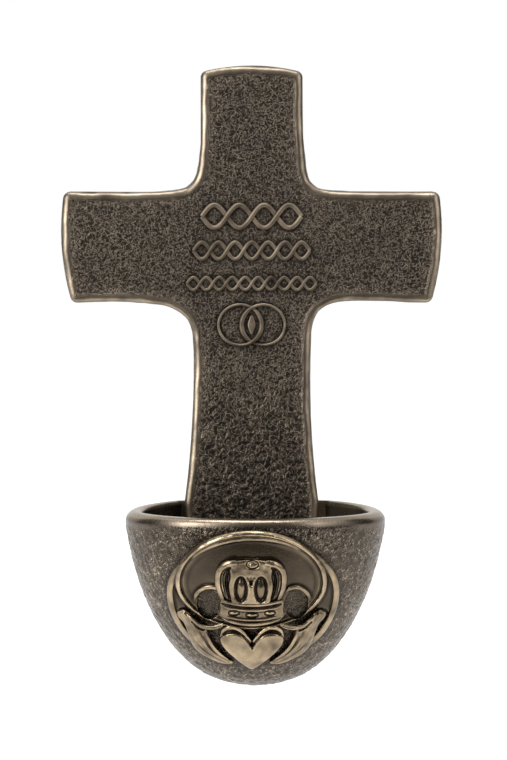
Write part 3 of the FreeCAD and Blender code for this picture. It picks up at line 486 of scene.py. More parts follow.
# middle of the arc (across, level), then length from the middle of the corner, which is below 0 along the
# arm, and push outwards
CORNERS = [
    ((-25.8, 26.95), [
        (-15, 0), (-12.4, 0.06), (-10, 0.21), (-7.5, 0.45), (-5.1, 0.29), (-2, -0.36), (1, -0.3), (3.1, 0.08),
        (5.1, 0.47), (7, 0.48), (8.8, 0.42), (10.6, 0.18), (12.5, 0)]),
    ((25.8, 26.95), [
        (-30, 0), (-20, 0.12), (-12.3, 0.21), (-9.9, 0.42), (-7.5, 0.5), (-5.1, 0.24), (-2, -0.42),
        (1, -0.34), (3.1, 0.29), (5.1, 0.69), (7, 0.93), (8.8, 0.84), (10.6, 0.57), (12.4, 0.39),
        (14.2, 0.21), (20, 0.1), (30, 0)]),
    ((-28.35, -26.95), [
        (-32, 0), (-26.7, -0.18), (-21.8, -0.24), (-17, -0.09), (-14.6, 0.12), (-12.2, 0.27), (-9.8, 0.58),
        (-7.4, 0.79), (-4.9, 0.86), (-2.3, 0.81), (0.3, 0.5), (2.9, 0.14), (5.5, 0.12), (8, 0), (13, -0.15),
        (25, -0.1), (35, 0)]),
    ((28.35, -26.95), [
        (-27, 0), (-22, -0.34), (-10, -0.38), (-7.4, -0.17), (-4.9, -0.31), (-2.2, -0.58), (0.4, -0.71),
        (2.9, -0.29), (5.5, 0.08), (8, 0.22), (17, 0.18), (35, 0)])]


def shape_corner(points, centre, pushes):
    """Pushes the outline round one inside corner."""
    side, way = np.sign(centre)
    across = (centre[0] - points[:, 0]) * side
    along = (centre[1] - points[:, 2]) * way
    far = np.maximum(np.hypot(np.clip(across, 0, None), np.clip(along, 0, None)), 1e-6)
    out_across, out_along = np.clip(across, 0, None) / far, np.clip(along, 0, None) / far
    length = CORNER_RADIUS * (np.arctan2(out_across, out_along) - math.pi / 4)
    length += np.clip(across, None, 0) - np.clip(along, None, 0)
    push = np.interp(length, *zip(*pushes), left=0, right=0) * (1 - step(*CORNER_REACH, far - CORNER_RADIUS))
    push[(across < 0) & (along < 0)] = 0
    points[:, 0] += side * push * out_across
    points[:, 2] += way * push * out_along


print(len(CORNERS), "corners, pushed by up to", max(abs(push) for _, pushes in CORNERS for _, push in pushes))

# %% The bead and the wrinkled field of the cross
CROSS_CELL = 0.43
CROSS_FRONT = -10.0
EDGE_ROUND = 1.6  # depth of the rounded edge
BEAD_CREST = 2.1  # from the outline
BEAD_FOOT = 2.7
FIELD_DEPTH = 0.3  # below the crest of the bead
WRINKLE_PERIOD = 1.15
WRINKLE_DEPTH = 0.18
WRINKLE_MIDDLE = 0.6  # a wrinkle of this height is level with the field
LOW_DEEPER, LOW_BETWEEN = 0.8, (-40, -90)  # the wrinkles are deeper by this share below these levels
WALL_SLICE = (-7.4, -6.4)  # between these depths lie only the side walls
FOOT_POCKET = (14, -100, -80)  # and this hollow in the foot: half width, bottom, top
MIDDLE_SPOT = (24, 26, -8)  # the ornament on the cross: half width, half height, level
MIDDLE_CALM, CALM_BETWEEN = 0.45, (0.75, 1.1)  # wrinkles are flatter by this share within its border at 1
BEAD_PERIODS, BEAD_UNEVEN = (6, 1.7), 0.3  # the bead is uneven in long and in short swells
WANDER_PERIOD = 2.5
FLATTENED = (1, 0, 1)

cross = casting_copy("cross", "cross_casting", CROSS_CELL)
points = points_of(cross)
for centre, pushes in CORNERS:
    shape_corner(points, centre, pushes)
x, y, z = points.T
wall = (y > WALL_SLICE[0]) & (y < WALL_SLICE[1])
half, bottom, top = FOOT_POCKET
inside_foot = (np.abs(x) < half) & (z > bottom) & (z < top)
outline = tree_of(points[wall & ~inside_foot] * FLATTENED)


def from_outline(points):
    """Distance of points from the outline of the cross, as seen from the front."""
    return np.array([outline.find(place)[2] for place in points * FLATTENED])


in_front = y < CROSS_FRONT + EDGE_ROUND
front = points[in_front]
inset, wander, crest = np.zeros((3, len(points)))
swells, ripples = (noise_at(front, period) for period in BEAD_PERIODS)
inset[in_front] = np.maximum(from_outline(front) + BEAD_UNEVEN * (swells + 0.2 * ripples), 0)
wander[in_front] = noise_at(front, WANDER_PERIOD)
crest[in_front] = [worm(place, WRINKLE_PERIOD) for place in front]
on_edge = in_front & (inset <= BEAD_CREST)
y[on_edge] = CROSS_FRONT + EDGE_ROUND * (1 - np.sqrt(1 - (1 - inset[on_edge] / BEAD_CREST) ** 2))
on_face = in_front & (inset > BEAD_CREST)
fall = step(BEAD_CREST, BEAD_FOOT, inset)
field = step(BEAD_CREST + 0.2, BEAD_FOOT + 0.3, inset + 0.6 * wander)
half, tall, middle = MIDDLE_SPOT
calm = 1 - MIDDLE_CALM * (1 - step(*CALM_BETWEEN, np.hypot(x / half, (z - middle) / tall)))
depth = WRINKLE_DEPTH * calm * (1 + LOW_DEEPER * step(*LOW_BETWEEN, z))
store(cross, "pits", field * (1 - crest))
y[on_face] = (CROSS_FRONT + FIELD_DEPTH * fall - depth * field * (crest - WRINKLE_MIDDLE))[on_face]
set_points(cross, points)
report(cross)

# %% [markdown]
# Only the face needs so many small faces. Whatever is flat and lies behind it, which is the back with its
# pockets, is dissolved into large faces again. The side walls keep theirs, because they are curved.

# %% Flat back of the cross
BEHIND_FACE = -9.4  # everything flat behind this depth belongs to the back
LEVEL = 0.99  # share of a normal that points straight to the back or front on a flat face
SAME_PLANE = math.radians(1.5)
SHARP = math.radians(35)  # a steeper edge stays sharp

only(cross)
mode("EDIT")
bpy.ops.mesh.select_mode(type="FACE")
bpy.ops.mesh.select_all(action="DESELECT")
mode("OBJECT")
for polygon in cross.data.polygons:
    polygon.select = polygon.center.y > BEHIND_FACE * MM and abs(polygon.normal.y) > LEVEL
mode("EDIT")
bpy.ops.mesh.dissolve_limited(angle_limit=SAME_PLANE, use_dissolve_boundaries=False)
mode("OBJECT")
bpy.ops.object.shade_smooth_by_angle(angle=SHARP)
report(cross)

# %% [markdown]
# ## The bowl
#
# Half an egg, cut flat by the wall. Its outside is wrinkled like the cross, its rim is smooth and rubbed
# by fingers, and the inside stays dark. The same even skin is used. A formula for the egg tells which
# points lie outside.

# %% The egg of the bowl
RIM = -77.1
EGG_HALF_WIDTH = 38.6
EGG_REACH = 27.0  # from its widest place to the front
EGG_MIDDLE = -30.0  # its widest place, in front of the wall
EGG_ASIDE = 0.85  # the bowl was cast a little to the right
EGG_LEAN = 0.16
EGG_HEIGHT = 53.4
BACK_HALF_WIDTH = 23.25  # of the rim where it meets the wall
INSIDE_LEVEL = 0.93  # below this a point lies on the inside of the wall
ACROSS_POWER = 2.4
DOWN_POWER = 1.6


def egg_front(x, z, rise):
    """Y of the egg's front at a place seen from the room, with the surface raised by `rise`."""
    depth = np.clip(RIM - z, 0, None)
    shrink = np.clip(1 - (depth / (EGG_HEIGHT + rise)) ** DOWN_POWER, 1e-4, 1) ** (1 / ACROSS_POWER)
    half = (EGG_HALF_WIDTH + rise) * shrink
    reach = (EGG_REACH + rise) * shrink
    return EGG_MIDDLE + EGG_LEAN * depth - reach * np.sqrt(np.clip(1 - ((x - EGG_ASIDE) / half) ** 2, 0, 1))


def egg_level(x, y, z):
    """1 on the outside of the egg and less within it."""
    depth = np.clip(RIM - z, 0, None)
    forward = EGG_MIDDLE + EGG_LEAN * depth - y
    back_reach = -EGG_MIDDLE / math.sqrt(1 - (BACK_HALF_WIDTH / EGG_HALF_WIDTH) ** 2)
    reach = np.where(forward > 0, EGG_REACH, back_reach)
    across = np.hypot(x / EGG_HALF_WIDTH, forward / reach)
    return across ** ACROSS_POWER + (depth / EGG_HEIGHT) ** DOWN_POWER


# %% The wrinkled skin of the bowl
BOWL_CELL = 0.54
BOWL_WRINKLE_DEPTH = 0.26
BOWL_WRINKLE_MIDDLE = 0.55
BOWL_WRINKLE_PERIOD = 1.35
STROKE_LEAN, STROKE_STRETCH = 0.45, 0.6  # the wrinkles of the bowl lean over and are drawn out downwards
RIM_BAND, SIDE_BAND = 1.5, 1.6  # height of the smooth rim in front, and what it gains at the sides
SKIN_RISE = 2.6  # below that rim the wrinkles reach their full depth within this
ASIDE_BETWEEN = (0, -8)  # the back stays where it is, from the second depth on all is moved aside

bowl = casting_copy("bowl", "bowl_casting", BOWL_CELL)
points, normals = points_of(bowl), read(bowl.data.vertices, "normal", 3)
x, y, z = points.T
bowl_level = egg_level(x, y, z)
outside = (bowl_level > INSIDE_LEVEL) & (y < -0.3) & (z < RIM - 0.4)
band_width = RIM_BAND + SIDE_BAND * (np.abs(x) / EGG_HALF_WIDTH) ** 2
skin = step(0, SKIN_RISE, RIM - z - band_width) * outside
crest = np.zeros(len(points))
crest[skin > 0] = [worm((x + STROKE_LEAN * z, y, STROKE_STRETCH * z), BOWL_WRINKLE_PERIOD)
                   for x, y, z in points[skin > 0]]
store(bowl, "pits", skin * (1 - crest))
push = BOWL_WRINKLE_DEPTH * skin * (crest - BOWL_WRINKLE_MIDDLE)
points += normals * push[:, None]
points[:, 0] += EGG_ASIDE * step(*ASIDE_BETWEEN, y)
set_points(bowl, points)
only(bowl)
bpy.ops.object.shade_smooth_by_angle(angle=SHARP)
report(bowl)

# %% [markdown]
# ## The bench
#
# The ornament follows the curve of the bowl, and that is an awkward surface to model on. So each piece is
# made flat first, as if it lay on a bench in plan, a thousand times its size: across, drop below the rim,
# and height above the skin of the bowl. Rods and plates are put together as wax is, melted into one skin
# by a voxel remesh, and the last lines are engraved. Then the flat piece is bent over the egg.

# %% Bench tools
SUNK = -0.6  # how far a piece reaches into what carries it
TOP = 0.4  # above this height a piece can be engraved to its full depth


def lead(places, dimensions, closed):
    """Leads the curve that was just added smoothly through places (across, drop, height, radius)."""
    wire = bpy.context.object
    wire.data.dimensions = dimensions
    wire.data.resolution_u = 6
    spline = wire.data.splines[0]
    spline.bezier_points.add(len(places) - len(spline.bezier_points))
    for point, (across, drop, height, radius) in zip(spline.bezier_points, places):
        point.co = (across, -drop, height)
        point.radius = radius
    spline.use_cyclic_u = closed
    mode("EDIT")
    bpy.ops.curve.select_all(action="SELECT")
    bpy.ops.curve.handle_type_set(type="AUTOMATIC")
    mode("OBJECT")
    return wire.data


def rod(path, radius, flat=1.0, closed=False):
    """A rod through places (across, drop, height), each with an optional share of the radius."""
    deselect()
    bpy.ops.curve.primitive_bezier_curve_add()
    curve = lead([(across, drop, height / flat, *(share or [1.0])) for across, drop, height, *share in path],
                 "3D", closed)
    curve.bevel_depth = radius
    curve.bevel_resolution = 3
    curve.use_fill_caps = True
    bpy.ops.object.convert(target="MESH")
    piece = bpy.context.object
    piece.scale.z = flat
    return settle(piece)


def plate(outline, low, high, edge):
    """A plate between two heights with a rounded edge, from its outline of (across, drop)."""
    deselect()
    bpy.ops.curve.primitive_bezier_circle_add()
    curve = lead([(across, drop, 0, 1.0) for across, drop in outline], "2D", True)
    curve.fill_mode = "BOTH"
    curve.extrude = (high - low) / 2 - edge
    curve.bevel_depth = edge
    curve.bevel_resolution = 4
    curve.offset = -edge
    bpy.ops.object.convert(target="MESH")
    piece = bpy.context.object
    piece.location.z = (low + high) / 2
    return settle(piece)


def pearl(across, drop, height, size):
    """A flattened ball with the given half sizes."""
    deselect()
    bpy.ops.mesh.primitive_uv_sphere_add(segments=32, ring_count=16, radius=1,
                                         location=(across, -drop, height), scale=size)
    return settle(bpy.context.object)


def on_side(side, path):
    """The same places on the right (1) or on the left (-1)."""
    return [(side * across, *rest) for across, *rest in path]


def both_sides(half):
    """A closed outline from its right half, which starts and ends on the middle line."""
    return half + on_side(-1, half[-2:0:-1])


def left_to_right(half):
    """A line across the middle from its right half, which starts on the middle line."""
    return on_side(-1, half[:0:-1]) + half


def oval(half, above, below, across, drop, count):
    """Places round an oval whose upper and lower halves differ."""
    turns = [2 * math.pi * index / count for index in range(count)]
    return [(across + half * math.cos(turn), drop - (above if turn < math.pi else below) * math.sin(turn))
            for turn in turns]


def melt(parts, grain, smoothing):
    """Joins bench parts into one even skin."""
    only(parts[0])
    for part in parts:
        part.select_set(True)
    bpy.ops.object.join()
    piece = fresh("wax")
    apply(piece, "REMESH", mode="VOXEL", voxel_size=grain)
    apply(piece, "SMOOTH", factor=0.5, iterations=smoothing)
    return piece


def along(path, closed=False, between=8):
    """Places along a smooth line through the given ones."""
    places = np.array([place[:2] for place in path], float)
    if closed:
        before, after, second_after = (np.roll(places, shift, axis=0) for shift in (1, -1, -2))
    else:
        ends = np.vstack([2 * places[0] - places[1], places, 2 * places[-1] - places[-2]])
        before, places, after, second_after = ends[:-3], ends[1:-2], ends[2:-1], ends[3:]
    line = []
    for share in np.arange(0, 1, 1 / between):
        line.append(0.5 * (2 * places + (after - before) * share
                           + (2 * before - 5 * places + 4 * after - second_after) * share ** 2
                           + (3 * places - before - 3 * after + second_after) * share ** 3))
    return np.stack(line, axis=1).reshape(-1, 2)


def press(piece, points, lowering):
    """Lowers the top of a bench piece and leaves its foot where it is."""
    points[:, 2] -= lowering * step(SUNK, TOP, points[:, 2])
    set_points(piece, points, 1)


def engrave(piece, path, width, depth, closed=False):
    """Presses a rounded groove into the top of a bench piece."""
    points = points_of(piece, 1)
    gap = np.full(len(points), np.inf)
    for across, drop in along(path, closed):
        gap = np.minimum(gap, np.hypot(points[:, 0] - across, points[:, 1] + drop))
    press(piece, points, depth * np.exp(-(gap / width) ** 2))


def sink(piece, half, above, below, across, drop, depth, bulge):
    """Lowers the inside of an oval, and lets its middle bulge up again."""
    points = points_of(piece, 1)
    down = -points[:, 1] - drop
    reach = np.hypot((points[:, 0] - across) / half, down / np.where(down < 0, above, below))
    press(piece, points, depth * (1 - step(0.85, 1.05, reach)) - bulge * np.clip(1 - reach ** 2, 0, 1))


def mirror_copy(piece):
    """The same bench piece for the other side."""
    only(piece)
    bpy.ops.object.duplicate()
    other = bpy.context.object
    bpy.ops.transform.mirror(constraint_axis=(True, False, False))
    settle(other)
    mode("EDIT")
    bpy.ops.mesh.select_all(action="SELECT")
    bpy.ops.mesh.normals_make_consistent(inside=False)
    mode("OBJECT")
    return other


HAND_UNEVEN = 0.13  # wax is never quite even
HAND_PERIOD = 2.1


def bend_on_bowl(piece, aside=0.0):
    """Lays a bench piece over the egg, moved a little to the side where the carver did so."""
    points = points_of(piece, 1)
    points[:, 2] += HAND_UNEVEN * step(0.4, 1.4, points[:, 2]) * noise_at(points, HAND_PERIOD)
    across, level, heights = points[:, 0] + aside, RIM + points[:, 1], points[:, 2]
    set_points(piece, np.column_stack([across, egg_front(across, level, heights), level]))
    return heights


CREST_BEND = 0.10  # a mesh that bends by this is fully a crest
FINE_VALLEY, BROAD_VALLEY = 0.07, 0.04  # and by these a valley, over 2 and over 14 neighbours
CREST_RUB = 0.35  # extra rubbing on crests
# the fine valleys keep the stain; the broad ones, spread over 14 neighbours, are painted shade
VALLEY_STAIN_AND_SHADE = 0.8
PATCHINESS = 0.9
ornament_points = []


def finish_ornament(piece, name, node, heights, rubbed_between, low=0.05, high=0.5, metal=None):
    """Stains the hollows and paints shade into the broad ones, rubs what stands high and the crests, and
    hands the piece over.
    """
    only(piece)
    fresh(name)
    bpy.ops.object.shade_smooth()
    fine, broad, places = bends(piece, 2), bends(piece, 14), points_of(piece)
    crest = np.clip(-fine / CREST_BEND, 0, 1) * (CREST_RUB if metal is None else 0)
    # stain in the fine valleys, painted shade in the broad ones
    valley_and_shade = np.clip(np.clip(fine / FINE_VALLEY, 0, 1) + np.clip(broad / BROAD_VALLEY, 0, 1), 0, 1)
    patches = noise_at(places, 6) + 0.5 * noise_at(places, 2)
    reach = low + (high - low) * step(*rubbed_between, heights)
    reach *= np.clip(1 + PATCHINESS * patches, 0.25, 1.5)
    finish_casting(piece, metal or rubbed_bronze, [node],
                   rub=np.clip((reach + crest * (0.4 + reach)) * (1 - VALLEY_STAIN_AND_SHADE * valley_and_shade), 0, 1),
                   hollow_and_shade=VALLEY_STAIN_AND_SHADE * valley_and_shade)
    ornament_points.append(places[::3])


print("bench ready")

# %% [markdown]
# ## The ring
#
# The ring of the emblem is a finger ring seen from a little above. One sees its near edge as a bright
# rounded band, its inside as a dark slope that falls away behind the crown, and its outer side as a
# crescent below, where the hands grow out of it. Two openings on either side of the crown show the skin
# of the bowl. The band and the slope are made of ovals, each raised from the one before by an extrusion.

# %% The ring
BAND_ASIDE = -0.6
BAND_DROP = 19.2
# half width, above, below, height
BAND_OVALS = [(22.1, 16.1, 13.9, SUNK), (22.35, 16.35, 14.1, 0.3), (22.3, 16.3, 14.05, 0.95),
              (22, 15.95, 13.9, 1.45), (21.6, 15.5, 13.7, 1.85), (21.2, 15.1, 13.5, 2.05),
              (20.9, 14.8, 13.35, 1.85), (20.65, 14.5, 13.2, 1.25), (20.4, 14.25, 13, 0.85),
              (20.15, 14.05, 12.85, 0.85), (19.9, 13.8, 12.6, 0.95), (19.6, 13.5, 12.3, 0.8),
              (18.6, 12.5, 11.4, 0.5), (16.3, 10.4, 9.4, 0.25), (13, 7.5, 7, 0.2), (6, 3, 3, 0.3)]
HOLE = (3.5, 4.4, 4.5)  # half width, above, below
HOLE_PLACES = ((-12.9, 25.7), (12.5, 25.6))


def dished(ovals, across, drop, count=128):
    """A closed dish raised oval by oval from a circle, with a flat bottom."""
    deselect()
    bpy.ops.mesh.primitive_circle_add(vertices=count, radius=1, fill_type="NGON", location=(0, 0, 0))
    dish = bpy.context.object
    mode("EDIT")
    bpy.ops.mesh.select_all(action="SELECT")
    for _ in ovals[1:]:
        bpy.ops.mesh.extrude_region_move(TRANSFORM_OT_translate={"value": (0, 0, 1)})
    mode("OBJECT")
    points = points_of(dish, 1)
    for rank, (half, above, below, height) in enumerate(ovals):
        places = np.array([(x, -z, height) for x, z in oval(half, above, below, across, drop, count)])
        ring = np.where(np.abs(points[:, 2] - rank) < 0.1)[0]
        turn = np.arctan2(points[ring, 1], points[ring, 0]) % (2 * math.pi)
        points[ring] = places[np.round(turn / (2 * math.pi) * count).astype(int) % count]
    set_points(dish, points, 1)
    return dish


def cut(piece, tool):
    apply(piece, "BOOLEAN", operation="DIFFERENCE", object=tool, solver="EXACT")
    bpy.data.objects.remove(tool)


band = dished(BAND_OVALS, BAND_ASIDE, BAND_DROP)
lips = [rod([(-17.3, 25, 0.3, 0.5), (-16.7, 22.9, 0.55), (-15, 21, 0.75), (-12.9, 20.3, 0.85),
             (-10.6, 20.6, 0.7), (-9.3, 21.6, 0.4, 0.6)], 0.75, flat=0.9),
        rod([(16.8, 24.8, 0.3, 0.5), (15.9, 22.6, 0.55), (14.2, 20.9, 0.75), (12.4, 20.3, 0.85),
             (10.6, 20.7, 0.7), (9.6, 21.6, 0.4, 0.6)], 0.75, flat=0.9)]

flank = plate(oval(25.3, 18.4, 22.6, 0, 22.7, 32), SUNK, 0.5, 0.3)
window = both_sides([(0, 28), (9, 28.6), (16, 28.4), (19.6, 27.4), (21.3, 27.6), (22.1, 29.2),
                     (21.7, 31.4), (20.5, 34.4), (18.7, 37.5), (16.4, 40.4), (13.2, 43), (9, 45.4),
                     (4.5, 47.4), (0, 48)])
cut(flank, plate(window, -3, 3, 0.05))
for across, drop in HOLE_PLACES:
    for pierced in (band, flank):
        cut(pierced, plate(oval(*HOLE, across, drop, 24), -3, 3, 0.05))
flank_rim = []
for across, drop in oval(24.35, 17.5, 21.6, 0, 22.7, 40):
    fade = min(max((42.5 - drop) / 6, 0), 1)
    flank_rim.append((across, drop, -0.5 + 1.1 * fade, 0.4 + 0.6 * fade))
hoop = melt([band, flank, rod(flank_rim, 1, flat=0.8, closed=True)] + lips, 0.2, 3)
finish_ornament(hoop, "finger_ring", "claddagh_hoop", bend_on_bowl(hoop), (0.5, 1.8), low=0.03, high=0.52)

# %% [markdown]
# ## The crown
#
# The crown is domed. Two broad arches bound it, a plate with a stone joins them at the top, and ribs run
# down between windows. Its circlet below carries three stones between ridges and ends in a lip that turns
# up at both sides.

# %% The crown
CROWN_ASIDE, CIRCLET_ASIDE = -0.75, -0.45
STAND_OUT = (1.3, 2.4)  # heights between which the crown is more and more rubbed
CROWN = [(0, 11), (2.6, 11.15), (5.2, 11.7), (7.5, 12.7), (9.4, 14), (10.4, 16), (10.6, 18.2),
         (10.2, 20.6), (9.4, 23), (8.6, 24.6), (4.4, 25.6), (0, 25.9)]
BETWEEN_ARCHES = [(0, 11.6), (3.5, 11.7), (5.8, 12.4), (6.3, 14.6), (6.1, 16.8), (6.5, 19.5), (6.1, 22.5),
                  (5.1, 25.4), (0, 25.7)]
ARCH = [(4.2, 12.6, 1.6, 0.8), (6.6, 13.1, 1.55), (8.4, 14.3, 1.35), (9.2, 16.1, 1.2), (9.3, 18.4, 1.1),
        (8.9, 20.9, 1), (8.2, 23.4, 0.8, 0.8), (7.8, 24.4, 0.7, 0.7)]
RIB = [(7.1, 14.9, 0.7, 0.4), (7.9, 16.6, 0.85), (8, 18.8, 0.85), (7.5, 21.2, 0.75), (6.7, 23.7, 0.6, 0.5)]
WINDOW_ASIDE, WINDOW_DROP = 2.9, 20.6
# path, width, depth
CROWN_GROOVES = [
    ([(6, 14.1), (6.9, 14.3), (8.3, 15.6), (8.75, 17.6), (8.6, 20.2), (7.8, 22.7), (7.3, 24.2)], 0.26, 0.6),
    ([(6.5, 14.8), (6.9, 16.5), (7.15, 18.8), (6.8, 21.3), (6.1, 23.6)], 0.26, 0.75),
    ([(1, 17.2), (0.35, 18.1), (0, 19.2)], 0.42, 0.45)]

parts = [plate(both_sides(CROWN), SUNK, 1.15, 0.7), plate(both_sides(BETWEEN_ARCHES), SUNK, 2.4, 0.9)]
for side in (-1, 1):
    parts += [rod(on_side(side, ARCH), 1.3), rod(on_side(side, RIB), 0.55)]
crown = melt(parts, 0.16, 2)
for side in (-1, 1):
    engrave(crown, oval(1.85, 3.75, 3.9, side * WINDOW_ASIDE, WINDOW_DROP, 28), 0.3, 0.6, closed=True)
    sink(crown, 1.75, 3.75, 3.85, side * WINDOW_ASIDE, WINDOW_DROP, 1.5, 1.2)
    for path, width, depth in CROWN_GROOVES:
        engrave(crown, on_side(side, path), width, depth)
engrave(crown, [(0, 17.2), (0, 18), (0, 18.9)], 0.5, 0.45)
engrave(crown, oval(1.75, 1.2, 1.2, 0.4, 13, 20), 0.22, 0.5, closed=True)
engrave(crown, [(-0.5, 13.5), (-0.6, 12.8), (0.4, 12.4), (1.4, 12.8)], 0.2, 0.3)
finish_ornament(crown, "crown_dome", "crown", bend_on_bowl(crown, CROWN_ASIDE), STAND_OUT,
                low=0.02, high=0.42)

# %% The circlet
# right half of each ridge, and its radius
RIDGES = [([(0, 25.5, 2.1), (5.6, 25.05, 1.9), (8.9, 24.2, 1.5, 0.7)], 0.52),
          ([(0, 27.1, 2.1), (5.6, 26.75, 1.9), (8.9, 25.9, 1.5, 0.7)], 0.45),
          ([(0, 30.2, 2), (5.4, 29.7, 1.9), (8.6, 28.8, 1.5, 0.7)], 0.42),
          ([(0, 31.5, 2.3), (3.6, 31.2, 2.2), (7.2, 30.2, 1.8), (9.1, 28.7, 1.3, 0.8),
            (9.7, 27.4, 1.1, 0.35)], 0.58)]
# across, drop, half width, half width of the groove round it
STONES = [(-5.2, 28, 1.25, 1.6), (0.1, 28.6, 1.45, 1.85), (5.3, 28, 1.25, 1.6)]

parts = [plate([(-9, 24.3), (-4.5, 25), (0, 25.2), (4.5, 25), (9, 24.3), (9.2, 26.4), (9, 28.8),
                (4.6, 30.6), (0, 31.2), (-4.6, 30.6), (-9, 28.8), (-9.2, 26.4)], SUNK, 1.9, 0.5)]
parts += [rod(left_to_right(half), radius) for half, radius in RIDGES]
parts += [pearl(across, drop, 1.75, (half, 0.5, 0.65)) for across, drop, half, _ in STONES]
circlet = melt(parts, 0.14, 1)
for across, drop, _, half in STONES:
    engrave(circlet, oval(half, 0.85, 0.85, across, drop, 20), 0.2, 0.4, closed=True)
engrave(circlet, left_to_right([(0, 26.3), (5.6, 25.9), (8.9, 25.1)]), 0.22, 0.5)
engrave(circlet, left_to_right([(0, 30.85), (5.4, 30.4), (8.8, 29.4)]), 0.22, 0.45)
finish_ornament(circlet, "crown_circlet", "crown_band", bend_on_bowl(circlet, CIRCLET_ASIDE), STAND_OUT,
                low=0.02, high=0.42)

# %% [markdown]
# ## The heart
#
# A plain raised heart with a soft edge. Along the top of each lobe runs a thin rolled rim, parted from
# the face by a groove that keeps the stain.

# %% The heart
HEART_ASIDE = -0.35
HEART = [(0, 36.4), (1.2, 34.9), (2.6, 33.3), (4.4, 32.2), (6.4, 31.9), (8.3, 32.8), (9.5, 34.8), (9.4, 37),
         (7.9, 39.5), (5.6, 41.9), (2.8, 44.3), (0.9, 45.8), (0, 46.2)]
FACE_OF_HEART = [(0, 38.3), (0.9, 36.8), (2.4, 35.2), (4.4, 34.35), (6.6, 34.3), (8.4, 34.9), (9.3, 36),
                 (9.15, 37.5), (7.8, 39.7), (5.5, 42), (2.7, 44.4), (0.8, 45.8), (0, 46.15)]
ROLLED_RIM = [(9, 35, 1.9, 0.6), (8.2, 33.4, 2.1), (6.4, 32.6, 2.2, 1.15), (4.5, 32.9, 2.2),
              (2.9, 34, 2.2), (1.5, 35.6, 2.2), (0.3, 37.2, 2, 0.8)]
RIM_GROOVE = [(0.1, 38.2), (1.4, 36.5), (3, 34.7), (5, 33.95), (7, 34.1), (8.4, 34.9)]

parts = [plate(both_sides(HEART), SUNK, 2.2, 0.8), plate(both_sides(FACE_OF_HEART), SUNK, 3, 1)]
parts += [rod(on_side(side, ROLLED_RIM), 0.62) for side in (-1, 1)]
heart = melt(parts, 0.16, 3)
for side in (-1, 1):
    engrave(heart, on_side(side, RIM_GROOVE), 0.35, 0.5)
engrave(heart, [(0, 37), (0, 38.3), (0.1, 39.2)], 0.3, 0.6)
sink(heart, 9.5, 5, 9, 0, 38.5, 0, 0.5)
finish_ornament(heart, "heart_boss", "heart", bend_on_bowl(heart, HEART_ASIDE), (0.8, 2.9), low=0.02,
                high=0.48)

# %% [markdown]
# ## The hands
#
# The left hand is modelled and the right one is its mirror image. A wrist comes from behind the ring, the
# palm lies along the heart, a thumb reaches over to the heart's lobe and three fingers run together
# towards its tip.

# %% The hands
PALM = [(-20.5, 27.6), (-19, 28), (-17.2, 29.7), (-15, 31.8), (-13, 33.7), (-12.2, 35.8), (-11.2, 38),
        (-9.7, 40.2), (-7.8, 42.4), (-5.4, 44.2), (-6.6, 44.7), (-9.3, 44.5), (-12.6, 43.1), (-15.3, 41.5),
        (-17.2, 39.4), (-18.3, 36.9), (-19, 34.6), (-20.1, 32), (-21.6, 30.2), (-21.9, 28.6)]
WRIST = [(-20.3, 28.9, 1, 0.95), (-19.1, 30.4, 1.1, 1), (-17.6, 32.4, 1.1, 1.1), (-16.6, 34.8, 1, 1.25),
         (-15.4, 37.2, 0.9, 1.25), (-13.9, 39.3, 0.8, 1.1), (-12, 41, 0.7, 0.9)]
THUMB = [(-19.6, 28.8, 1.3, 0.6), (-17.9, 30.3, 1.8), (-16, 31.9, 2), (-14, 32.7, 2.1),
         (-11.7, 32.8, 2.1), (-9.8, 32.3, 2, 0.95), (-8.3, 31.6, 1.8, 0.75)]
FINGERS = [[(-13.4, 34.6, 1.5, 0.6), (-12.7, 36.6, 1.7), (-11.5, 38.9, 1.7), (-9.5, 41.3, 1.5),
            (-6.2, 43.8, 0.9, 0.6)],
           [(-14.9, 36.4, 1.5, 0.6), (-13.6, 38.8, 1.6), (-11.7, 41, 1.4), (-9.3, 42.8, 1.1),
            (-6.9, 44, 0.7, 0.6)],
           [(-16.6, 37.6, 1.2, 0.6), (-15.2, 40, 1.3), (-13, 42, 1.1), (-10.6, 43.3, 0.8),
            (-8.3, 44.1, 0.5, 0.6)]]
# path, width, depth: two between the fingers and two along the thumb
HAND_GROOVES = [([(-14.2, 35.9), (-13.1, 38.2), (-11.4, 40.4), (-9, 42.3), (-6.3, 44)], 0.22, 0.16),
                ([(-15.9, 37.6), (-14.3, 40), (-12.2, 41.8), (-9.6, 43.2), (-7.5, 44.1)], 0.22, 0.14),
                ([(-17.5, 31.2), (-15.6, 33.1), (-13.7, 33.9)], 0.28, 0.55),
                ([(-12.8, 32.75), (-10.6, 32.6), (-8.9, 32)], 0.16, 0.3)]

parts = [plate(PALM, SUNK, 1.75, 0.9), rod(WRIST, 1.35, flat=0.8), rod(THUMB, 0.72, flat=0.85)]
parts += [rod(finger, 0.6) for finger in FINGERS]
left_hand = melt(parts, 0.16, 2)
for path, width, depth in HAND_GROOVES:
    engrave(left_hand, path, width, depth)
right_hand = mirror_copy(left_hand)
for hand, aside, name, node in ((left_hand, -0.4, "hand_on_left", "left_hand"),
                                (right_hand, -0.5, "hand_on_right", "right_hand")):
    finish_ornament(hand, name, node, bend_on_bowl(hand, aside), (0.3, 2.2), high=0.45)

# %% [markdown]
# ## Ornament on the cross
#
# Two rings of wire pass through each other: the left one lies on top at the lower crossing, the right one
# at the upper crossing. Between them stands a small almond in a sunk field. Above them three plaited
# bands, each of two strands, cross the arms. All of it is drawn on the bench and laid on the flat face.

# %% Linked rings and almond
FACE = CROSS_FRONT + FIELD_DEPTH
RINGS_LEVEL = -23.3
RING_ASIDE = 3.5
RING_HALF = 6.5
RING_TALL = 6.1
WIRE = 0.6
WIRE_RUBBED = (-0.3, 0.4)  # heights between which the wires are more and more rubbed


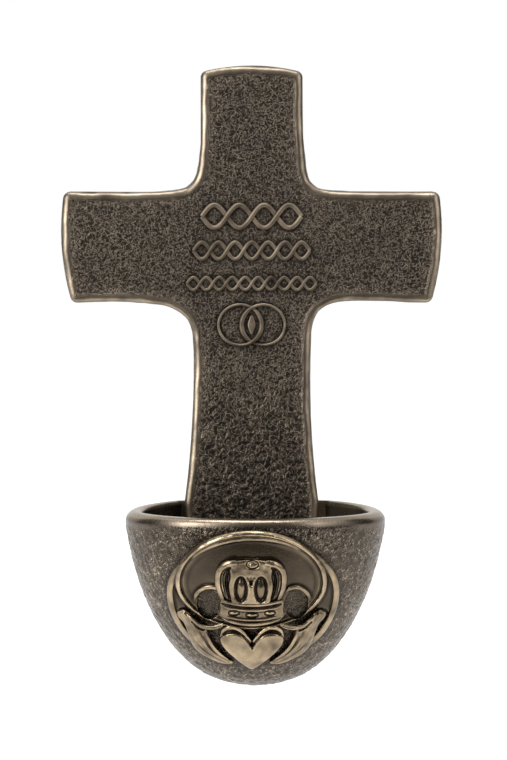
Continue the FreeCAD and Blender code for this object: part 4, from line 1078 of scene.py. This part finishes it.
def lay_on_cross(piece, level):
    """Lays a bench piece on the face of the cross, its drop counted down from a level."""
    points = points_of(piece, 1)
    set_points(piece, np.column_stack([points[:, 0], FACE - points[:, 2], level + points[:, 1]]))
    return points[:, 2]


def linked_ring(side):
    """A wire ring, thicker towards the middle, that rises at one crossing and dips at the other."""
    path = []
    for index in range(32):
        turn = 2 * math.pi * index / 32
        across = side * (-RING_HALF * math.cos(turn) + RING_ASIDE)
        drop = RING_TALL * math.sin(turn) * side
        near = math.exp(-((across / 2.2) ** 2))
        over = near * (1 if drop * side < 0 else -1)
        thick = 0.75 + 0.5 * math.exp(-((across - side * -3.0) / 2.5) ** 2)
        path.append((across, drop, 0.18 + 0.42 * over, thick))
    return path


for side, word in ((-1, "left"), (1, "right")):
    ring = melt([rod(linked_ring(side), WIRE, closed=True)], 0.11, 1)
    finish_ornament(ring, "wire_ring_" + word, "linked_ring_" + word, lay_on_cross(ring, RINGS_LEVEL),
                    WIRE_RUBBED, high=0.38, metal=satin_bronze)

almond = melt([plate([(0, -2.95), (0.75, -1.7), (1.2, 0), (0.75, 1.7), (0, 2.95), (-0.75, 1.7), (-1.2, 0),
                      (-0.75, -1.7)], SUNK, 0.55, 0.35)], 0.1, 2)
finish_ornament(almond, "almond_boss", "almond", lay_on_cross(almond, RINGS_LEVEL), (0.0, 0.5),
                metal=satin_bronze)

# %% Plaited bands
# node, half width, half height, level, loops, wire
PLAITS = [("plait_upper", 15.0, 4.15, 9.35, 4, 0.74), ("plait_middle", 17.5, 3.1, -0.95, 7, 0.6),
          ("plait_lower", 19.5, 2.35, -10.85, 10, 0.5)]


def strand(half, tall, loops, wire, phase):
    """One strand of a plait, which goes over and under its partner by turns."""
    path = []
    for index in range(loops * 8 + 1):
        share = index / (loops * 8)
        swing = math.sin(math.pi * loops * share) * phase
        over = math.cos(math.pi * loops * share) * phase
        path.append((half * (2 * share - 1), -tall * swing, 0.2 + 0.3 * wire * over))
    return path


for node, half, tall, level, loops, wire in PLAITS:
    strands = [rod(strand(half, tall - wire, loops, wire, phase), wire, flat=0.8) for phase in (1, -1)]
    plait = melt(strands, 0.14, 1)
    finish_ornament(plait, "band_of_" + node, node, lay_on_cross(plait, level), WIRE_RUBBED, high=0.36,
                    metal=satin_bronze)

# %% [markdown]
# ## Stain, rubbing and painted shade of the castings
#
# Now that the ornament is in place, the two castings get their finish. Stain gathers along every foot of
# the ornament, and shade is painted there as well, so the nearer a point is to it, the darker it stays.
# The shadow of the bowl is painted on the lower stem. Edges and the rim are rubbed. The inside of the
# bowl and the bowl within the ring of the emblem get painted shade, and the right of the inside is
# lighter with painted light.

# %% Finish of the cross and the bowl


def near_ornament(points, where, spread):
    """1 beside the ornament, falling to 0 within about `spread` millimetres."""
    ornament = tree_of(np.vstack(ornament_points))
    gaps = np.array([ornament.find(place)[2] for place in points[where]])
    closeness = np.zeros(len(points))
    closeness[where] = np.exp(-(gaps / spread) ** 2)
    return closeness


def pits_and_crests(piece):
    """How much of a pit and how much of a rubbed crest the wrinkles are at each point."""
    pits = stored(piece, "pits")
    return np.clip(2 * pits - 0.9, 0, 1), np.clip(0.55 - 2 * np.abs(pits - 0.2), 0, 1)


# distances from the outline of the cross between which each thing begins or ends
EDGE_BEGINS, EDGE_ENDS, FALL_ENDS = (0.1, 0.7), (1.8, 2.5), (2.0, 3.3)
RIDGE_BEGINS, GLEAM_ENDS = (BEAD_CREST, BEAD_FOOT - 0.1), (2.8, 5.5)
EDGE_DEPTHS = (-7.9, -9.1)  # rubbing begins between these depths
FACE_DEPTH = -8.8  # everything in front of this is edge, bead or field
COARSE_BETWEEN = (-22, -60)  # levels on the stem between which the wrinkles grow coarse
BOWL_SHADOW_BETWEEN = (-45, -95)  # and between which the shadow of the bowl falls on it

points = points_of(cross)
x, y, z = points.T
distances = from_outline(points)
wander, patches = noise_at(points, WANDER_PERIOD), noise_at(points, 7)
pits, crests = pits_and_crests(cross)
half, tall, middle = MIDDLE_SPOT
in_front = y < FACE_DEPTH
edge = step(*EDGE_DEPTHS, y) * step(*EDGE_BEGINS, distances)
edge *= 1 - step(*EDGE_ENDS, distances + 0.3 * wander)
fall = in_front * (1 - step(*FALL_ENDS, distances + 0.6 * wander))
ridge = in_front * step(*RIDGE_BEGINS, distances + 0.5 * wander)
gleam = ridge * (1 - step(*GLEAM_ENDS, distances + wander))
low_down = step(*COARSE_BETWEEN, z)
worn = np.clip(1 + 0.9 * patches + 0.6 * wander, 0.25, 1.6)
around = in_front & (np.abs(x) < half) & (np.abs(z - middle) < tall)
# darker beside the ornament: stain at its foot and painted shade; the shadow of the bowl painted on the lower
# stem
stain_and_shade = 0.75 * near_ornament(points, around, 0.8) + 0.35 * step(*BOWL_SHADOW_BETWEEN, z)
stain_and_shade += (0.1 + 0.4 * low_down) * pits
rub = (0.07 + np.maximum(0.40 * edge * worn, 0.16 * fall)) * (1 - ridge)
rub += 0.10 * gleam + (0.05 + 0.22 * low_down) * ridge * crests
finish_casting(cross, wrinkled_bronze, ["cross"], rub=rub, ridge=ridge,
               hollow_and_shade=np.clip(stain_and_shade, 0, 1), coarse=low_down)

RIM_RUB, LIP_ENDS = 0.42, (0.8, 2.4)
# painted shade inside the bowl, lightened on the right with painted light where the left lamp would fall;
# painted shade on the bowl within the ring
INSIDE_RUB, RIGHT_INSIDE_LIGHT, RIGHT_BETWEEN = 0.10, 0.45, (8, 32)  # the right of the inside is lighter
INSIDE_SHADE, RING_SHADE = 0.4, 0.72
RING_SPOT = (24.5, 21.5, 23)  # the ring on the bowl: half width, half height, drop

points = points_of(bowl)
pits, crests = pits_and_crests(bowl)
x, y, z = points.T
half, tall, drop = RING_SPOT
below_rim = RIM - z
lip = (1 - step(*LIP_ENDS, below_rim)) * (1 - 0.5 * (x / EGG_HALF_WIDTH) ** 2) * outside
top_of_rim = step(-1.6, -0.3, -below_rim)
inner = (bowl_level < INSIDE_LEVEL) & (below_rim > 0.8)
around = (np.abs(x) < 30) & (y < -25) & outside
within_ring = 1 - step(0.85, 1.0, np.hypot(x / half, (below_rim - drop) / tall))
# beside the ornament stain at its foot and painted shade; within the ring painted shade on the bowl seen
# through the openings
shade = np.maximum(near_ornament(points, around, 1.1), RING_SHADE * within_ring)
rub = 0.08 + RIM_RUB * (lip + top_of_rim) + 0.16 * skin * crests * (1 - shade)
# painted shade inside the bowl, with painted light on its right
rub[inner] = (INSIDE_RUB + RIGHT_INSIDE_LIGHT * step(*RIGHT_BETWEEN, x))[inner]
stain_and_shade = np.where(inner, INSIDE_SHADE, (0.95 * shade + 0.35 * pits) * outside)
finish_casting(bowl, stroked_bronze, ["bowl"], rub=rub, ridge=skin,
               hollow_and_shade=np.clip(stain_and_shade, 0, 1))

# %% [markdown]
# ## Hardware on the back
#
# The hanger, the screws and the dowels are zinc-plated steel: pale, slightly blue, with the cloudy look
# of plating. The threaded inserts are brass.

# %% Plain metals


def plain_metal(name, dark, light, roughness, scale):
    """A metal whose tone wanders between two colours."""
    material = bpy.data.materials.new(name)
    add, link = nodes_of(material)
    cloud = add("TexNoise", Scale=scale, Detail=4.0, Vector=add("TexCoord").outputs["Object"]).outputs["Fac"]
    tone = add("Mix", data_type="RGBA", Factor=cloud, A=dark, B=light)
    worn = add("MapRange", Value=cloud, To_Min=roughness - 0.08, To_Max=roughness + 0.12)
    bump = add("Bump", Strength=0.3, Distance=0.05 * MM, Height=cloud)
    metal = add("BsdfPrincipled", Metallic=1.0, Base_Color=tone.outputs["Result"], Roughness=worn.outputs[0],
                Normal=bump.outputs[0])
    add("OutputMaterial", Surface=metal.outputs[0])
    return material


zinc = plain_metal("zinc_plating", (0.42, 0.44, 0.47, 1), (0.68, 0.70, 0.72, 1), 0.34, 260)
bare_brass = plain_metal("bare_brass", (0.55, 0.40, 0.17, 1), (0.78, 0.60, 0.29, 1), 0.28, 300)
FINISHES = {"keyhole_plate": zinc, "keyhole_plate_screws": zinc, "bowl_screws": zinc, "locating_dowels": zinc,
            "threaded_inserts": bare_brass}
for node, metal in FINISHES.items():
    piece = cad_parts[node]
    piece.data.materials.clear()
    piece.data.materials.append(metal)
    only(piece)
    bpy.ops.object.shade_smooth_by_angle(angle=math.radians(30))
print("finished:", ", ".join(FINISHES))
